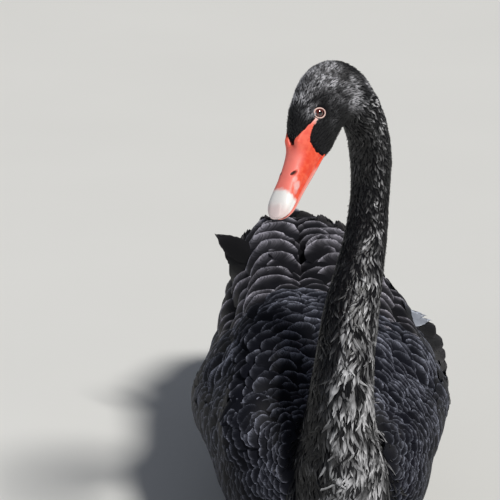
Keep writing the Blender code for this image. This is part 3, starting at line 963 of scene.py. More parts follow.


# where the neck catches the light, painted pale as glints and gloss: its left side, and its whole front near the breast
LIT = unit(np.array([0.62, -0.70, 0.35]))
for name, chosen, spacing, shapes, seed in (("neck_feathers_upper", [NECK_UP], upper_spacing, curls, 21),
                                            ("neck_feathers_lower", [NECK_MID, NECK_LOW], lower_spacing, locks, 22)):
    points, normals, lie, _ = scatter(seed, chosen, spacing)
    big = neck_size(points)
    count = len(points)
    lit = smooth(normals @ LIT, 0.55 - 0.35 * big, 0.95 - 0.25 * big)
    stream = field(points * (1.5, 1.5, 0.5), 0.020, seed + 5)
    lit *= smooth(points[:, 0], 0.056, 0.044)
    # painted glints on lit tips, and painted gloss in streaks towards the breast
    painted_glint = lit * (smooth(stream, 0.52, 0.66) * big + (draw.random(count) > 0.66) * (1 - 0.4 * big))
    plume(name, (points, normals, lie), shapes, neck_finish,
          width=(0.0022 + 0.0022 * big) * draw.uniform(0.8, 1.25, count),
          length=(0.0080 + 0.0160 * big) * draw.uniform(0.8, 1.25, count), tilt=draw.uniform(0.05, 0.16, count),
          tip_height=draw.uniform(0.0007, 0.0016, count) + 0.0008 * big, sweep=draw.normal(0, 0.14, count),
          yaw=0.9 * (field(points, 0.030, seed + 9) - 0.5) + draw.normal(0, 0.16, count), tone=draw.random(count),
          frost=np.clip(painted_glint * (0.75 * big + 0.25 + (1 - 0.7 * big) * draw.uniform(-0.3, 1.1, count))
                        + 0.20 * draw.random(count) ** 6, 0, 1),
          power=2.6, seed=seed, on_neck=True)

# %% [markdown]
# ## Places on the wing
# A wing is a long lens that leans on the body, so a place on it is told by three things: the side, the distance along
# the body, and a height from -1 at the lower edge to 1 on the back. The skin there is found by looking from outside
# straight at the wing.

# %% Wing places
# along the body: how far out the wing's middle is, its height, its half width, and its lean in degrees
WING = [(-0.140, 0.0740, 0.148, 0.040, 42), (-0.100, 0.0715, 0.152, 0.052, 43), (-0.040, 0.0690, 0.160, 0.076, 45),
        (0.040, 0.0670, 0.167, 0.089, 45), (0.130, 0.0600, 0.177, 0.080, 43), (0.210, 0.0510, 0.193, 0.067, 40),
        (0.270, 0.0420, 0.200, 0.053, 38), (0.330, 0.0290, 0.194, 0.033, 36), (0.376, 0.0180, 0.184, 0.016, 30)]
BACK_SHIFT = -0.020
WING_SLACK = {1: 0.010, -1: -0.003}
WING_END = 0.355
LOOK_FROM, LOOK_THROUGH = 0.06, 0.14


def wing_row(side, y):
    """The wing's middle, height, half width and lean at one place along the body, with the slack of that side."""
    out, height, half, lean = curve_table(WING, y)[0]
    return out + WING_SLACK[side] * np.exp(-(((y - 0.12) / 0.09) ** 2)), height, half, radians(lean)


def on_wing(side, y, t):
    """Point and normal of the skin on the wing's outside, at a place along the body and a height t from -1 to 1."""
    out, height, half, tip = wing_row(side, y)
    outward = Vector((side * cos(tip), 0, sin(tip)))
    middle = Vector((side * (out - t * half * sin(tip)) + BACK_SHIFT * (1 + t) / 2, y, height + t * half * cos(tip)))
    return skin_tree.ray_cast(middle + outward * LOOK_FROM, -outward, LOOK_THROUGH)[:2]


def wing_height(points):
    """The height t of points on the wings."""
    out, height, half, lean = curve_table(WING, points[:, 1]).T
    tip = np.radians(lean)
    across = np.abs(points[:, 0] - BACK_SHIFT / 2) - out
    return ((points[:, 2] - height) * np.cos(tip) - across * np.sin(tip)) / half


print("wing from", WING[0][0], "to", WING[-1][0], "m along the body, slack", WING_SLACK)

# %% [markdown]
# ## Breast, flank and covert feathers
# The body's feathers are rounded and overlap like tiles, wider than their visible part is long. They have the width
# of a finger on the breast and grow towards the rear. Their frayed ends make the fine arcs that cover the bird. Where
# the skin has a crease, live feathers bridge it, so roots there are raised and every root turns with its neighbours.

# %% Roots of the body feathers
tiles = drawer("tile", 4, 7, 5, ROUND_TIP, 0.05, arc=0.04, cup=0.035, thick=0.02, notch=0.05)
BACK_START, BACK_END = 0.015, 0.300
BACK_LOW = -0.50
CALM_RADIUS = 0.020
RAISE, MOST_RAISE = 0.001, 0.007
BUMP = 0.88


def body_width(points):
    """Width of a feather at each place on the body."""
    rear = smooth(points[:, 1], -0.16, 0.16)
    high = smooth(points[:, 2], 0.10, 0.20)
    near_neck = smooth(np.linalg.norm(points - NECK_FOOT, axis=1), 0.120, 0.035)
    return (0.0250 + 0.0110 * rear + 0.0080 * high) * (1 - 0.42 * near_neck)


def body_spacing(points):
    width = body_width(points)
    return 0.52 * width, 0.155 * width


def calmed(points, normals, radius):
    """Normals averaged over a radius, and how far each point lies below its surroundings."""
    even, low = np.empty_like(points), np.empty(len(points))
    for start in range(0, len(points), BLOCK // 10):
        part = slice(start, start + BLOCK // 10)
        gap = points[None] - points[part, None]
        share = np.exp(-(gap**2).sum(2) / radius**2) * (normals[part] @ normals.T > 0)
        even[part] = unit(share @ normals)
        low[part] = (share * np.einsum("ijk,ik->ij", gap, even[part])).sum(1) / share.sum(1)
    return even, low


points, normals, lie, owner = scatter(31, [TRUNK, TAIL, WING_L, WING_R], body_spacing)
even, low = calmed(points, normals, CALM_RADIUS)
raised = np.clip(low + RAISE, 0, MOST_RAISE)
points = points + even * raised[:, None]
lie = laid_flat(lie, even)
print("tiles raised over creases:", (raised > RAISE).sum(), "by up to", round(float(raised.max()) * 1000, 1), "mm")
x, y, z = points.T
on_back = np.isin(owner, (WING_L, WING_R)) & (y > BACK_START) & (y < BACK_END) & (wing_height(points) > BACK_LOW)
on_bump = (normals * even).sum(1) < BUMP
on_tail = (owner == TAIL) & ((y > 0.290) | (np.abs(normals[:, 2]) < 0.5))
kept = (z > 0.004) & ~on_back & ~on_bump & ~on_tail
points, normals, lie, raised = points[kept], even[kept], lie[kept], raised[kept]
print("roots kept:", kept.sum(), "of", len(kept))

# %% [markdown]
# The tiles are grown in three pieces, from breast to rear. Near the floor they lie flatter, because the bird rests on
# them. Lower down their pale rims are painted fainter, as painted shade.

# %% Grow the body feathers
for name, chosen in (("breast_feathers", points[:, 1] < -0.07),
                     ("side_feathers", (points[:, 1] >= -0.07) & (points[:, 1] < 0.08)),
                     ("rear_feathers", points[:, 1] >= 0.08)):
    p = points[chosen]
    count = len(p)
    width = body_width(p) * draw.uniform(0.93, 1.09, count)
    wave = field(p, 0.06, 5)
    floor_room = smooth(p[:, 2], 0.004, 0.03)
    # painted shade: the pale rims fade towards the floor
    shaded = 0.45 + 0.55 * smooth(p[:, 2], 0.075, 0.155)
    plume(name, (p, normals[chosen], lie[chosen]), tiles, body_finish, width=width,
          length=width * draw.uniform(0.95, 1.04, count),
          tilt=draw.uniform(0.10, 0.12, count) * (0.3 + 0.7 * floor_room),
          tip_height=(width * draw.uniform(0.100, 0.112, count)) * (0.25 + 0.75 * floor_room) + raised[chosen],
          yaw=draw.normal(0, 0.05, count), tone=draw.uniform(0.25, 0.75, count),
          frost=np.clip(draw.random(count) * 0.8 + 0.5 * (wave - 0.3), 0, 1) * shaded, seed=33)

# %% [markdown]
# ## Feathers of the back
# On the back the folded wings wear their largest feathers in rows, each row tucked under the one before it, as on a
# tiled roof. They are as wide as three fingers, domed, and finely frayed, so each row shows as a pale arc.

# %% Rows of the back
ROW_STEP = [(0.0, 0.0180), (0.05, 0.0225), (0.12, 0.0250), (0.30, 0.0250)]
ROW_WIDTH = [(0.0, 0.0480), (0.06, 0.0620), (0.12, 0.0720), (0.21, 0.0700), (0.30, 0.0480)]
ROWS_END = 0.285
# columns across the wing, from the back downwards: height t, share of the row's width, and how far feathers there
# stand above their neighbours
COLUMNS = [(1.15, 0.66, 0.0), (0.62, 1.0, 0.0042), (0.14, 0.76, 0.0016), (-0.20, 0.62, 0.0), (-0.50, 0.54, -0.0012),
           (-0.78, 0.50, -0.0015)]


def wing_lie(normals, side):
    """Back along the wing, a little towards the middle on the back of the bird."""
    return laid_flat(np.column_stack([-0.06 * side, 0 * side + 1.0, 0 * side + 0.05]), normals)


rows = [BACK_START - 0.014]
while rows[-1] < ROWS_END:
    rows.append(rows[-1] + on_edge(ROW_STEP, rows[-1]))
roots = []
for side in (1, -1):
    for number, y in enumerate(rows):
        width = on_edge(ROW_WIDTH, y)
        for column, (t, share, above) in enumerate(COLUMNS):
            later = 0.5 * on_edge(ROW_STEP, y) * (column % 2)
            spot, normal = on_wing(side, y + later + draw.normal(0, 0.0012), t + draw.normal(0, 0.02))
            if spot is not None:
                roots.append((*spot, *normal, side, width * share, above))
print("rows", len(rows), "with", len(roots), "feathers")
shoulders = drawer("shoulder", 5, 12, 13, ROUND_TIP, 0.03, arc=0.04, cup=0.19, thick=0.014, notch=0.06, ridge=0.010,
                   wave=0.015)
found = np.array(roots)
p, n, side, width, above = found[:, :3], found[:, 3:6], found[:, 6], found[:, 7], found[:, 8]
count = len(p)
plume("back_feathers", (p, n, wing_lie(n, side)), shoulders, wing_finish, width=width * draw.uniform(0.94, 1.08, count),
      length=width * draw.uniform(0.80, 0.95, count), tilt=draw.uniform(0.10, 0.15, count),
      tip_height=width * draw.uniform(0.08, 0.11, count) + above, yaw=draw.normal(0, 0.05, count), sink=0.001,
      tone=draw.random(count), frost=draw.uniform(0.3, 1.0, count), seed=41)

# %% [markdown]
# ## Long feathers
# Behind the shoulder lie the feathers that give this bird its ruffled back: long, broad and curled at the edges.
# They are few, so each is listed by its root on a wing and the place of its tip, and one maker lays any such list.

# %% Maker of long feathers
frills = drawer("frill", 5, 22, 13, LONG_BLADE, 0.05, arc=0.13, cup=0.13, thick=0.02, notch=0.20, ridge=0.02,
                wave=0.09)
blades = drawer("blade", 3, 22, 9, POINTED, 0.04, arc=0.10, cup=0.12, thick=0.02, notch=0.10, ridge=0.03)


def aimed_feathers(name, listed, shapes, finish, seed):
    """Lays feathers listed as root, tip, width and curl. The root is moved to the skin. The curl is how far the tip
    lifts off a straight feather, in metres."""
    roots, tips, width, curl = (np.array([row[k] for row in listed], float) for k in range(4))
    spots, normals = on_skin(roots)
    straight = tips - normals * curl[:, None] - spots
    way = unit(straight)
    upright = laid_flat(normals, way)
    count = len(listed)
    plume(name, (spots, upright, way), shapes, finish, width=width, length=np.linalg.norm(straight, axis=1), tilt=0.0,
          tip_height=0.0, bend=normals * curl[:, None], tone=draw.random(count), frost=draw.uniform(0.3, 0.9, count),
          power=2.2, sink=0.002, seed=seed)


# %% [markdown]
# Each wing has a row of long feathers across it and a second row, shorter and more curled, over them. Six feathers rise
# highest on the back. The rump between the wings and the tail is covered by short even rows.

# %% Ruffled back and rump
def past_wing(side, y, t, out, lift):
    """A place near the wing's surface, pushed outwards and up. Past the wing's end it sinks."""
    spot, _ = on_wing(side, min(y, WING_END), t)
    return (spot.x + side * out, y, spot.z + lift - 0.25 * max(0.0, y - WING_END))


ruffled = []
for side in (1, -1):
    for t in np.linspace(-0.60, 0.85, 8):
        y = 0.195 + 0.045 * draw.random()
        loose = smooth(t, -0.4, 0.2)
        tip = past_wing(side, y + 0.115 + 0.02 * draw.random(), t * 0.9, 0.002 * loose,
                        (0.007 + 0.004 * draw.random()) * loose)
        ruffled.append((on_wing(side, y, t)[0], tip, 0.042, 0.002 + 0.006 * loose))
    for t in np.linspace(-0.15, 0.80, 6):
        y = 0.215 + 0.035 * draw.random()
        tip = past_wing(side, y + 0.070 + 0.02 * draw.random(), t, 0.0, 0.010 + 0.006 * draw.random())
        ruffled.append((on_wing(side, y, t)[0], tip, 0.040, 0.014))
for side, y, t, tip in ((-1, 0.175, 0.10, (-0.0690, 0.262, 0.236)), (-1, 0.170, 0.55, (-0.0535, 0.262, 0.2500)),
                        (-1, 0.185, 0.90, (-0.0360, 0.262, 0.2410)), (1, 0.185, 0.95, (-0.0050, 0.262, 0.2460)),
                        (1, 0.175, 0.65, (0.0118, 0.262, 0.2520)), (1, 0.185, 0.20, (0.0317, 0.262, 0.2450))):
    ruffled.append((on_wing(side, y, t)[0], tip, 0.036, 0.016))


def from_above(x, y, lift=0.0):
    """The highest place of the skin at x and y, or of the space over the tail beyond it."""
    hit = skin_tree.ray_cast(Vector((x, y, 0.5)), Vector((0, 0, -1)), 0.5)[0]
    return (x, y, (hit.z if hit else 0.15) + lift)


rump = []
for y in (0.215, 0.240, 0.265, 0.290, 0.312):
    for x in np.linspace(-0.062, 0.042, 6 if y in (0.240, 0.290) else 7):
        narrow = 1 - 3.0 * (y - 0.19)
        start = (x * narrow - 0.010 * (1 - narrow), y + 0.004 * draw.random())
        tip = from_above(start[0] * 1.05, start[1] + 0.070, 0.008 + 0.003 * draw.random())
        tip = (tip[0], tip[1], max(tip[2], 0.235 - 1.0 * max(0.0, tip[1] - 0.275)))
        rump.append((from_above(*start), tip, 0.040, 0.005))
aimed_feathers("rump_feathers", rump, shoulders, wing_finish, 53)
aimed_feathers("ruffled_feathers", ruffled, frills, flight_finish, 51)

# %% [markdown]
# The wings do not lie alike. A few narrow feathers stand off on the bird's right. The left wing hangs looser: its outer
# feathers stand off, and white flight feathers show between them.

# %% Feathers that stand off
splayed = [((-0.060, 0.170, 0.228), (-0.1060, 0.235, 0.2385), 0.026, 0.004),
           ((-0.066, 0.165, 0.215), (-0.0980, 0.230, 0.2290), 0.028, 0.004),
           ((-0.070, 0.160, 0.202), (-0.0915, 0.220, 0.2120), 0.030, 0.003),
           ((-0.075, 0.150, 0.185), (-0.0885, 0.210, 0.1860), 0.030, 0.003)]
aimed_feathers("splayed_feathers", splayed, blades, flight_finish, 52)
loosened = [(on_wing(1, y, t)[0], tip, 0.044, 0.007) for y, t, tip in (
    (0.088, 0.00, (0.1320, 0.160, 0.1570)), (0.086, -0.14, (0.1375, 0.157, 0.1450)),
    (0.084, -0.28, (0.1420, 0.154, 0.1310)), (0.082, -0.42, (0.1460, 0.151, 0.1150)),
    (0.080, -0.58, (0.1485, 0.148, 0.0980)), (0.078, -0.74, (0.1490, 0.145, 0.0810)))]
aimed_feathers("loosened_feathers", loosened, shoulders, flight_finish, 55)
shown = [(on_wing(1, y, t)[0], tip, 0.019, 0.005) for y, t, tip in (
    (0.092, 0.34, (0.1130, 0.158, 0.1720)), (0.090, 0.26, (0.1185, 0.160, 0.1700)),
    (0.086, 0.18, (0.1245, 0.158, 0.1670)), (0.082, 0.10, (0.1300, 0.156, 0.1625)))]
aimed_feathers("white_flight_feathers", shown, blades, white_finish, 56)

# %% [markdown]
# The tail is a fan in two layers, above and below. Their feathers lie side by side, every second one a little further
# out, so that their edges overlap without cutting into each other.

# %% Tail fan
fans = drawer("fan", 3, 16, 9, LONG_BLADE, 0.03, arc=0.05, cup=0.10, thick=0.02, notch=0.06, ridge=0.03)
TAIL_COUNT = 11
fan = np.linspace(-1, 1, TAIL_COUNT)
layer = 0.0010 * (np.arange(TAIL_COUNT) % 2)
for name, rise in (("tail_feathers_upper", 1), ("tail_feathers_lower", -1)):
    thick = 0.009 + 0.013 * np.sqrt(1 - 0.8 * fan**2) + layer
    root = np.column_stack([fan * 0.034, 0.272 + 0 * fan, 0.147 + rise * thick])
    tip = np.column_stack([fan * 0.055, 0.403 - 0.014 * fan**2, 0.156 + rise * (0.0030 + layer)])
    way = unit(tip - root)
    upright = laid_flat(unit(np.column_stack([0.5 * fan, 0 * fan, rise + 0 * fan])), way)
    plume(name, (root, upright, way), fans, flight_finish, width=0.028, length=np.linalg.norm(tip - root, axis=1),
          tilt=0.0, tip_height=0.0, bend=np.zeros((TAIL_COUNT, 3)), tone=draw.random(TAIL_COUNT), seed=54)

# %% [markdown]
# ## The bill and the bare face
# The bill is smooth horn, so its form must carry it: a domed ridge, a flat closing edge with a thin lip, a slit of a
# nostril on each side and a small nail at the tip. It is lofted from the same few stations as the solid, much finer,
# and modelled point by point. The same loft runs on over the face as bare skin: its rings look for the skin from
# inside and lie just above it where the face is bare, and under it elsewhere. So bill and face are one smooth piece.

# %% Sizes of the bill
# places ahead of the eyes, half width, heights of the ridge and of the closing edge, and depth of the lower bill
BILL = [(0.0335, 0.0140, 0.0020, -0.0275, 0.0050), (0.0450, 0.0129, -0.0035, -0.0290, 0.0052),
        (0.0580, 0.0118, -0.0082, -0.0302, 0.0048), (0.0700, 0.0116, -0.0118, -0.0310, 0.0042),
        (0.0820, 0.0123, -0.0148, -0.0317, 0.0036), (0.0930, 0.0124, -0.0182, -0.0323, 0.0030),
        (0.1060, 0.0112, -0.0245, -0.0330, 0.0024)]
BILL_BASE, BILL_TIP = 0.0335, 0.106
# the bare face: where its rings start, where they become the bill's own, and how far back they lean
FACE_START, FACE_END, FACE_SLOPE, FACE_REACH = 0.0030, 0.050, 0.25, 0.06
# heights over and under the skin, and how fast the loft comes down to the bill's own form
BARE_HEIGHT, HIDDEN, FAIRING, EVENING = 0.0006, 0.0016, 0.30, 60
# folds along the closing edge: height above it, width and depth
MOUTH_RISE = 0.006
LIP, WAIST = (0.0012, 0.0009, 0.00045), (0.0052, 0.0022, 0.00055)
NOSTRIL, NOSTRIL_SIZE, NOSTRIL_SLOPE = (0.0625, -0.0126), (0.0036, 0.0012), radians(10)
NOSTRIL_DEPTH, NOSTRIL_SWELL = 0.0028, 0.0006
NAIL_START, NAIL_END, NAIL_RISE = 0.0930, 0.0965, 0.0005
AROUND, FACE_STEP, BILL_STEPS, EVENED = 168, 0.00055, 85, 80
LOWER_START, LOWER_SHORT, LOWER_AROUND, LOWER_STEPS = 0.0260, 0.0050, 56, 60
print("bill", round((BILL_TIP - BILL_BASE) * 1000), "mm from the face to the tip, by", len(BILL), "stations")

# %% [markdown]
# A loft is a row of rings joined by faces, closed by a fan at each end. Each ring of the bill is a squashed circle:
# flat at the closing edge, with a thin lip and a slight waist above it, and narrower as it nears the tip.

# %% Rings and lofts
def circle(count):
    """Even angles round a circle."""
    return np.arange(count) * 2 * pi / count


def signed_power(value, exponent):
    """A power that keeps the sign, which makes a circle squarer or flatter."""
    return np.sign(value) * np.abs(value) ** exponent


def ring_faces(rings, around, closed=False):
    """Faces between neighbouring rings of points, the last of them joined to the first if closed."""
    return [(k * around + i, k * around + (i + 1) % around, (k + 1) % rings * around + (i + 1) % around,
             (k + 1) % rings * around + i) for k in range(rings if closed else rings - 1) for i in range(around)]


def closed_loft(name, rings):
    """A closed mesh through rings of points, with a fan at each end."""
    around, count = len(rings[0]), len(rings)
    points = np.vstack([*rings, np.mean(rings[0], 0), np.mean(rings[-1], 0)])
    faces = ring_faces(count, around)
    for i in range(around):
        j = (i + 1) % around
        faces += [(j, i, count * around), ((count - 1) * around + i, (count - 1) * around + j, count * around + 1)]
    piece = mesh_object(name, points, faces)
    outward(piece)
    return piece


def bill_stations(places, short=0.0):
    """The table at many places, rounded off towards the tip, and how far each ring leans back onto the face."""
    half, top, mouth, lower = curve_table(BILL, places).T
    left = np.clip(1 - (BILL_TIP - short - places + 0.0003) / 0.016, 0, 1)
    nose = (1 - left**2.2) ** (1 / 2.2)
    lean = FACE_SLOPE * np.clip(1 - (places - BILL_BASE) / 0.020, 0, 1)
    return half * nose, top, mouth, lower, nose, lean


def slit(ahead, above):
    """Distances along and across the nostril from its middle, as shares of its size."""
    df, du = ahead - NOSTRIL[0], above - NOSTRIL[1]
    along = (df * cos(NOSTRIL_SLOPE) + du * sin(NOSTRIL_SLOPE)) / NOSTRIL_SIZE[0]
    return along, (-df * sin(NOSTRIL_SLOPE) + du * cos(NOSTRIL_SLOPE)) / NOSTRIL_SIZE[1]


def horn_ring(place, theta, half, top, mouth, nose, lean):
    """One ring of the upper bill, as places ahead of, beside and above the eyes."""
    height = np.sin(theta)
    side = signed_power(np.cos(theta), 0.80) * half
    high = np.where(height > 0, top - mouth - MOUTH_RISE, MOUTH_RISE) * nose
    up = mouth + MOUTH_RISE + np.where(height > 0, signed_power(height, 0.92), signed_power(height, 0.45)) * high
    lip, waist = (np.exp(-((up - mouth - at) / wide) ** 2) * deep for at, wide, deep in (LIP, WAIST))
    side = side + np.sign(side) * nose * (lip - waist * smooth(place, 0.040, 0.052))
    return np.stack([place + lean * (up + 0.015), side, up], 1)


# %% [markdown]
# Each ring is laid on the face from its own centre outwards. Where the line of sight meets bare skin the point sits
# just above it. Ahead of the skin the difference to the bill's own form is let out little by little, so no step shows.

# %% Upper bill and bare face
def laid_on_face(places, rings):
    """The rings laid on the face: just above the skin where it is bare, under it where feathers grow, and drawn
    gently down to the bill's own form ahead of the skin."""
    height = np.interp(places, (0, 0.015, BILL_BASE), (-0.006, -0.0105, -0.0215))
    lift = np.zeros(AROUND)
    laid = rings.copy()
    for k, place in enumerate(places):
        centre = np.array([place, 0.0, height[k]])
        own = np.linalg.norm(rings[k] - centre, axis=1)
        way = (rings[k] - centre) / own[:, None]
        ease = FAIRING * (place - places[k - 1]) if k else 0.0
        start = Vector(in_head(centre[None])[0])
        for i, look in enumerate(way @ HEAD_AXES):
            hit, _, _, reach_out = skin_tree.ray_cast(start, Vector(look), FACE_REACH)
            rest = max(lift[i] - ease, 0.0) if lift[i] > 0 else min(lift[i] + 4 * ease, 0.0)
            if hit is None:
                lift[i] = rest
            elif is_bare(np.array([hit]))[0]:
                lift[i] = max(reach_out + BARE_HEIGHT - own[i], rest) if k else reach_out + BARE_HEIGHT - own[i]
            else:
                lift[i] = reach_out - HIDDEN - own[i]
        even = lift.copy()
        for _ in range(int(EVENING * smooth(place, 0.0355, 0.0440))):
            even = (np.roll(even, 1) + 2 * even + np.roll(even, -1)) / 4
        laid[k] = centre + way * (own + even)[:, None]
    return laid


def upper_bill():
    """The loft over face and bill, with a nostril on each side, a small nail, and its first rings evened."""
    theta = circle(AROUND)
    places = np.concatenate([np.arange(FACE_START, FACE_END, FACE_STEP),
                             FACE_END + (BILL_TIP - FACE_END) * np.sin(np.linspace(0, pi / 2, BILL_STEPS))])
    rings = np.array([horn_ring(place, theta, half, top, mouth, nose, lean)
                      for place, half, top, mouth, _, nose, lean in zip(places, *bill_stations(places))])
    face = places < FACE_END
    rings[face] = laid_on_face(places[face], rings[face])
    ahead, beside, above = rings[..., 0], rings[..., 1], rings[..., 2]
    along, over = slit(ahead, above)
    pit = smooth(np.hypot(along, over), 1.15, 0.45) * NOSTRIL_DEPTH
    swell = np.exp(-(((along + 0.1) / 1.5) ** 2) - ((over + 1.9) / 1.7) ** 2) * NOSTRIL_SWELL
    beside -= np.sign(beside) * (pit - swell) * (np.abs(beside) > 0.003)
    nail = smooth(ahead, NAIL_START, NAIL_END) * smooth(np.abs(beside), 0.0075, 0.0055)
    above += NAIL_RISE * nail * smooth(above, -0.030, -0.026)
    for _ in range(2):
        rings[1:EVENED] = (rings[:EVENED - 1] + 2 * rings[1:EVENED] + rings[2:EVENED + 1]) / 4
    return closed_loft("bill_upper_horn", [in_head(ring) for ring in rings])


# %% [markdown]
# The lower bill is a shallow trough that closes against the upper one. Both pieces then remember where each of their
# points lies on the bill, for the colours.

# %% Lower bill
def lower_bill():
    theta = circle(LOWER_AROUND)
    places = LOWER_START + (BILL_TIP - LOWER_SHORT - LOWER_START) * np.sin(np.linspace(0, pi / 2, LOWER_STEPS))
    rings = []
    for place, half, _, mouth, lower, nose, lean in zip(places, *bill_stations(places, LOWER_SHORT)):
        side = signed_power(np.cos(theta), 0.75) * half * 0.90
        up = mouth - 0.0010 + np.sin(theta) * np.where(np.sin(theta) > 0, 0.0006, lower * nose)
        rings.append(in_head(np.stack([place + lean * (up + 0.015), side, up], 1)))
    return closed_loft("bill_lower_horn", rings)


def mark_places(piece):
    """Stores each point's place ahead of, beside and above the eyes in millimetres, and its height on the bill."""
    place = to_head(vertex_array(piece.data)) * 1000
    top, mouth = (curve_table(BILL, place[:, 0] / 1000)[:, k] * 1000 for k in (1, 2))
    stored(piece.data, "place", place, "FLOAT_VECTOR")
    stored(piece.data, "rise", (place[:, 2] - mouth) / np.maximum(top - mouth, 1))
    print(piece.name, len(piece.data.polygons), "faces")


horn = [upper_bill(), lower_bill()]
for piece in horn:
    mark_places(piece)

# %% [markdown]
# The feathers of the forehead end in a wedge that points down the ridge of the bill, between two lobes of bare skin.
# Its tufts stand on the horn itself.

# %% Feather wedge on the bill
WEDGE_TIP, WEDGE_BASE, WEDGE_HALF, WEDGE_STEP = 0.0405, 0.0270, 0.0085, 0.0008
horn_tree = search_tree(*mesh_arrays(horn[0].data))
spots = []
for forward in np.arange(WEDGE_BASE, WEDGE_TIP, WEDGE_STEP):
    half = min(WEDGE_HALF, 0.95 * (WEDGE_TIP - forward))
    for side in np.arange(-half, half + 0.0001, WEDGE_STEP):
        start = in_head([(forward + draw.normal(0, 0.0003), side + draw.normal(0, 0.0003), 0.020)])[0]
        found = [tree.ray_cast(Vector(start), Vector(-UP), 0.04) for tree in (horn_tree, skin_tree)]
        found = [hit for hit in found if hit[0] is not None]
        if found:
            hit, normal, _, _ = min(found, key=lambda hit: hit[3])
            spots.append((*hit, *normal))
spots = np.array(spots)
normals = spots[:, 3:]
lie = laid_flat(-FORWARD + 0 * normals, normals)
count = len(spots)
plume("wedge_feathers", (spots[:, :3], normals, lie), tufts, head_finish, width=draw.uniform(0.0012, 0.0017, count),
      length=draw.uniform(0.0030, 0.0042, count), tilt=draw.uniform(0.20, 0.40, count), tip_height=0.0,
      bend=-normals * 0.0006, yaw=draw.normal(0, 0.18, count), tone=draw.random(count), frost=0.05, seed=61,
      on_neck=True)

# %% [markdown]
# The colours follow the places: orange-red sides, a pinker ridge that is painted sheen, a clean white band, a pale
# nail, a thin pale lip, a nostril painted dark as shade, and bare skin that fades to pinkish white at the eye. Soft
# noise breaks every border, as in living horn.

# %% Paint the bill
RED = (0.80, 0.060, 0.025, 1)
ORANGE = (0.90, 0.120, 0.055, 1)
SHEEN_PINK = (0.95, 0.25, 0.21, 1)
WHITE = (0.88, 0.86, 0.84, 1)
SHELL = (0.84, 0.58, 0.56, 1)
FLESH_PINK = (0.90, 0.66, 0.60, 1)
NOSTRIL_SHADE = (0.030, 0.004, 0.003, 1)
horn_finish, tree, shader = material("bill_horn", Coat_Weight=0.08, Coat_Roughness=0.30, Specular_IOR_Level=0.40)
# the place ahead of and above the eyes in millimetres, and the height on the bill from 0 to 1
ahead, _, above = add_node(tree, "ShaderNodeSeparateXYZ", {0: attribute(tree, "place", "Vector")}).outputs
rise = attribute(tree, "rise")
blur = noise(object_place(tree), 220.0, 3.0, 0.55)
fine = noise(object_place(tree), 900.0, 3.0, 0.6)
wobble = calc("MULTIPLY_ADD", blur, 6.0, -3.0)
rough_ahead = plus(ahead, wobble)


def oval(centre, size, slope=0.0, ragged=1.6):
    """A soft oval on the side of the bill, at a place ahead and above, 1 inside and 0 outside."""
    df, du = calc("SUBTRACT", ahead, centre[0]), calc("SUBTRACT", above, centre[1])
    x = plus(times(df, cos(slope) / size[0]), times(du, sin(slope) / size[0]))
    y = plus(times(df, -sin(slope) / size[1]), times(du, cos(slope) / size[1]))
    return ramp(plus(times(x, x), times(y, y), calc("MULTIPLY_ADD", blur, ragged, -ragged / 2)), 1.5, 0.3)


band = times(ramp(plus(rough_ahead, times(rise, 2.0)), 80.5, 86.0), ramp(rise, 0.08, 0.22))
nostril = oval([1000 * v for v in NOSTRIL], [900 * v for v in NOSTRIL_SIZE], NOSTRIL_SLOPE, ragged=0.0)
colour = blend(ramp(blur, 0.35, 0.65), RED, ORANGE)
# the pink over the top of the ridge is painted sheen, and the dark nostril is painted shade
for share, tint in ((times(ramp(rise, 0.55, 0.98), ramp(ahead, 36.0, 50.0, 0.25, 0.8)), SHEEN_PINK),
                    (times(oval((67.0, -16.0), (3.4, 2.0)), 0.55), SHELL),
                    (times(oval((70.5, -20.5), (5.0, 3.4)), 0.70), SHELL),
                    (times(oval((76.0, -22.0), (4.0, 2.6)), 0.40), SHELL),
                    (band, WHITE),
                    (times(ramp(rough_ahead, 91.0, 100.0), band, 0.55), SHELL),
                    (times(ramp(rise, 0.10, 0.03), ramp(ahead, 36.0, 44.0), 0.45), FLESH_PINK),
                    (times(ramp(rough_ahead, 20.0, 9.0), 0.9), FLESH_PINK), (nostril, NOSTRIL_SHADE)):
    colour = blend(share, colour, tint)
feed(shader, Base_Color=colour, Roughness=ramp(fine, 0.3, 0.7, 0.40, 0.55),
     Normal=bump(plus(times(fine, 0.35), blur), 0.20, 0.0007))
for piece, source in zip(horn, ("bill_upper", "bill_lower")):
    placed(piece, "bill", horn_finish, source)

# %% [markdown]
# ## Eyes
# Each eye is a glossy ball set in the head, with a clear bulge over a dark red-brown iris. A narrow pale lid rings it.
# The iris is painted by an attribute: each point's distance from the eye's axis in millimetres.

# %% Finish of the eyes
EYE_AT, EYE_RADIUS = (0.0025, 0.0117, 0.0052), 0.0059
# millimetres from the eye's axis: the pupil's edge, and a value for the side that is never seen
PUPIL = 2.1
NOT_SEEN = 9.0
LID_RADIUS, LID_STEPS, LID_AROUND = 0.0006, 56, 14
eye_finish, tree, shader = material("eye_wet", Roughness=0.06, Coat_Weight=1.0, Coat_Roughness=0.02,
                                    Specular_IOR_Level=0.6)
gaze = attribute(tree, "gaze")
iris = blend(noise(object_place(tree), 1500.0), (0.050, 0.006, 0.004, 1), (0.15, 0.022, 0.012, 1))
colour = blend(ramp(gaze, PUPIL - 0.15, PUPIL + 0.15), (0.002, 0.001, 0.001, 1), iris)
feed(shader, Base_Color=blend(ramp(gaze, 4.0, 4.5), colour, (0.02, 0.006, 0.005, 1)))
lid_finish = speckled("eye_lid", 1200.0, (0.70, 0.40, 0.34), (0.88, 0.68, 0.62), (0.3, 0.0004), Roughness=0.45,
                      Specular_IOR_Level=0.5)
print("eye finishes ready")

# %% [markdown]
# The ball is a loft round the eye's own axis, with the bulge on its outer side. The lid is a small closed tube whose
# every point is set on the skin, so it follows the face, and then levelled half way, because the skin is uneven there.

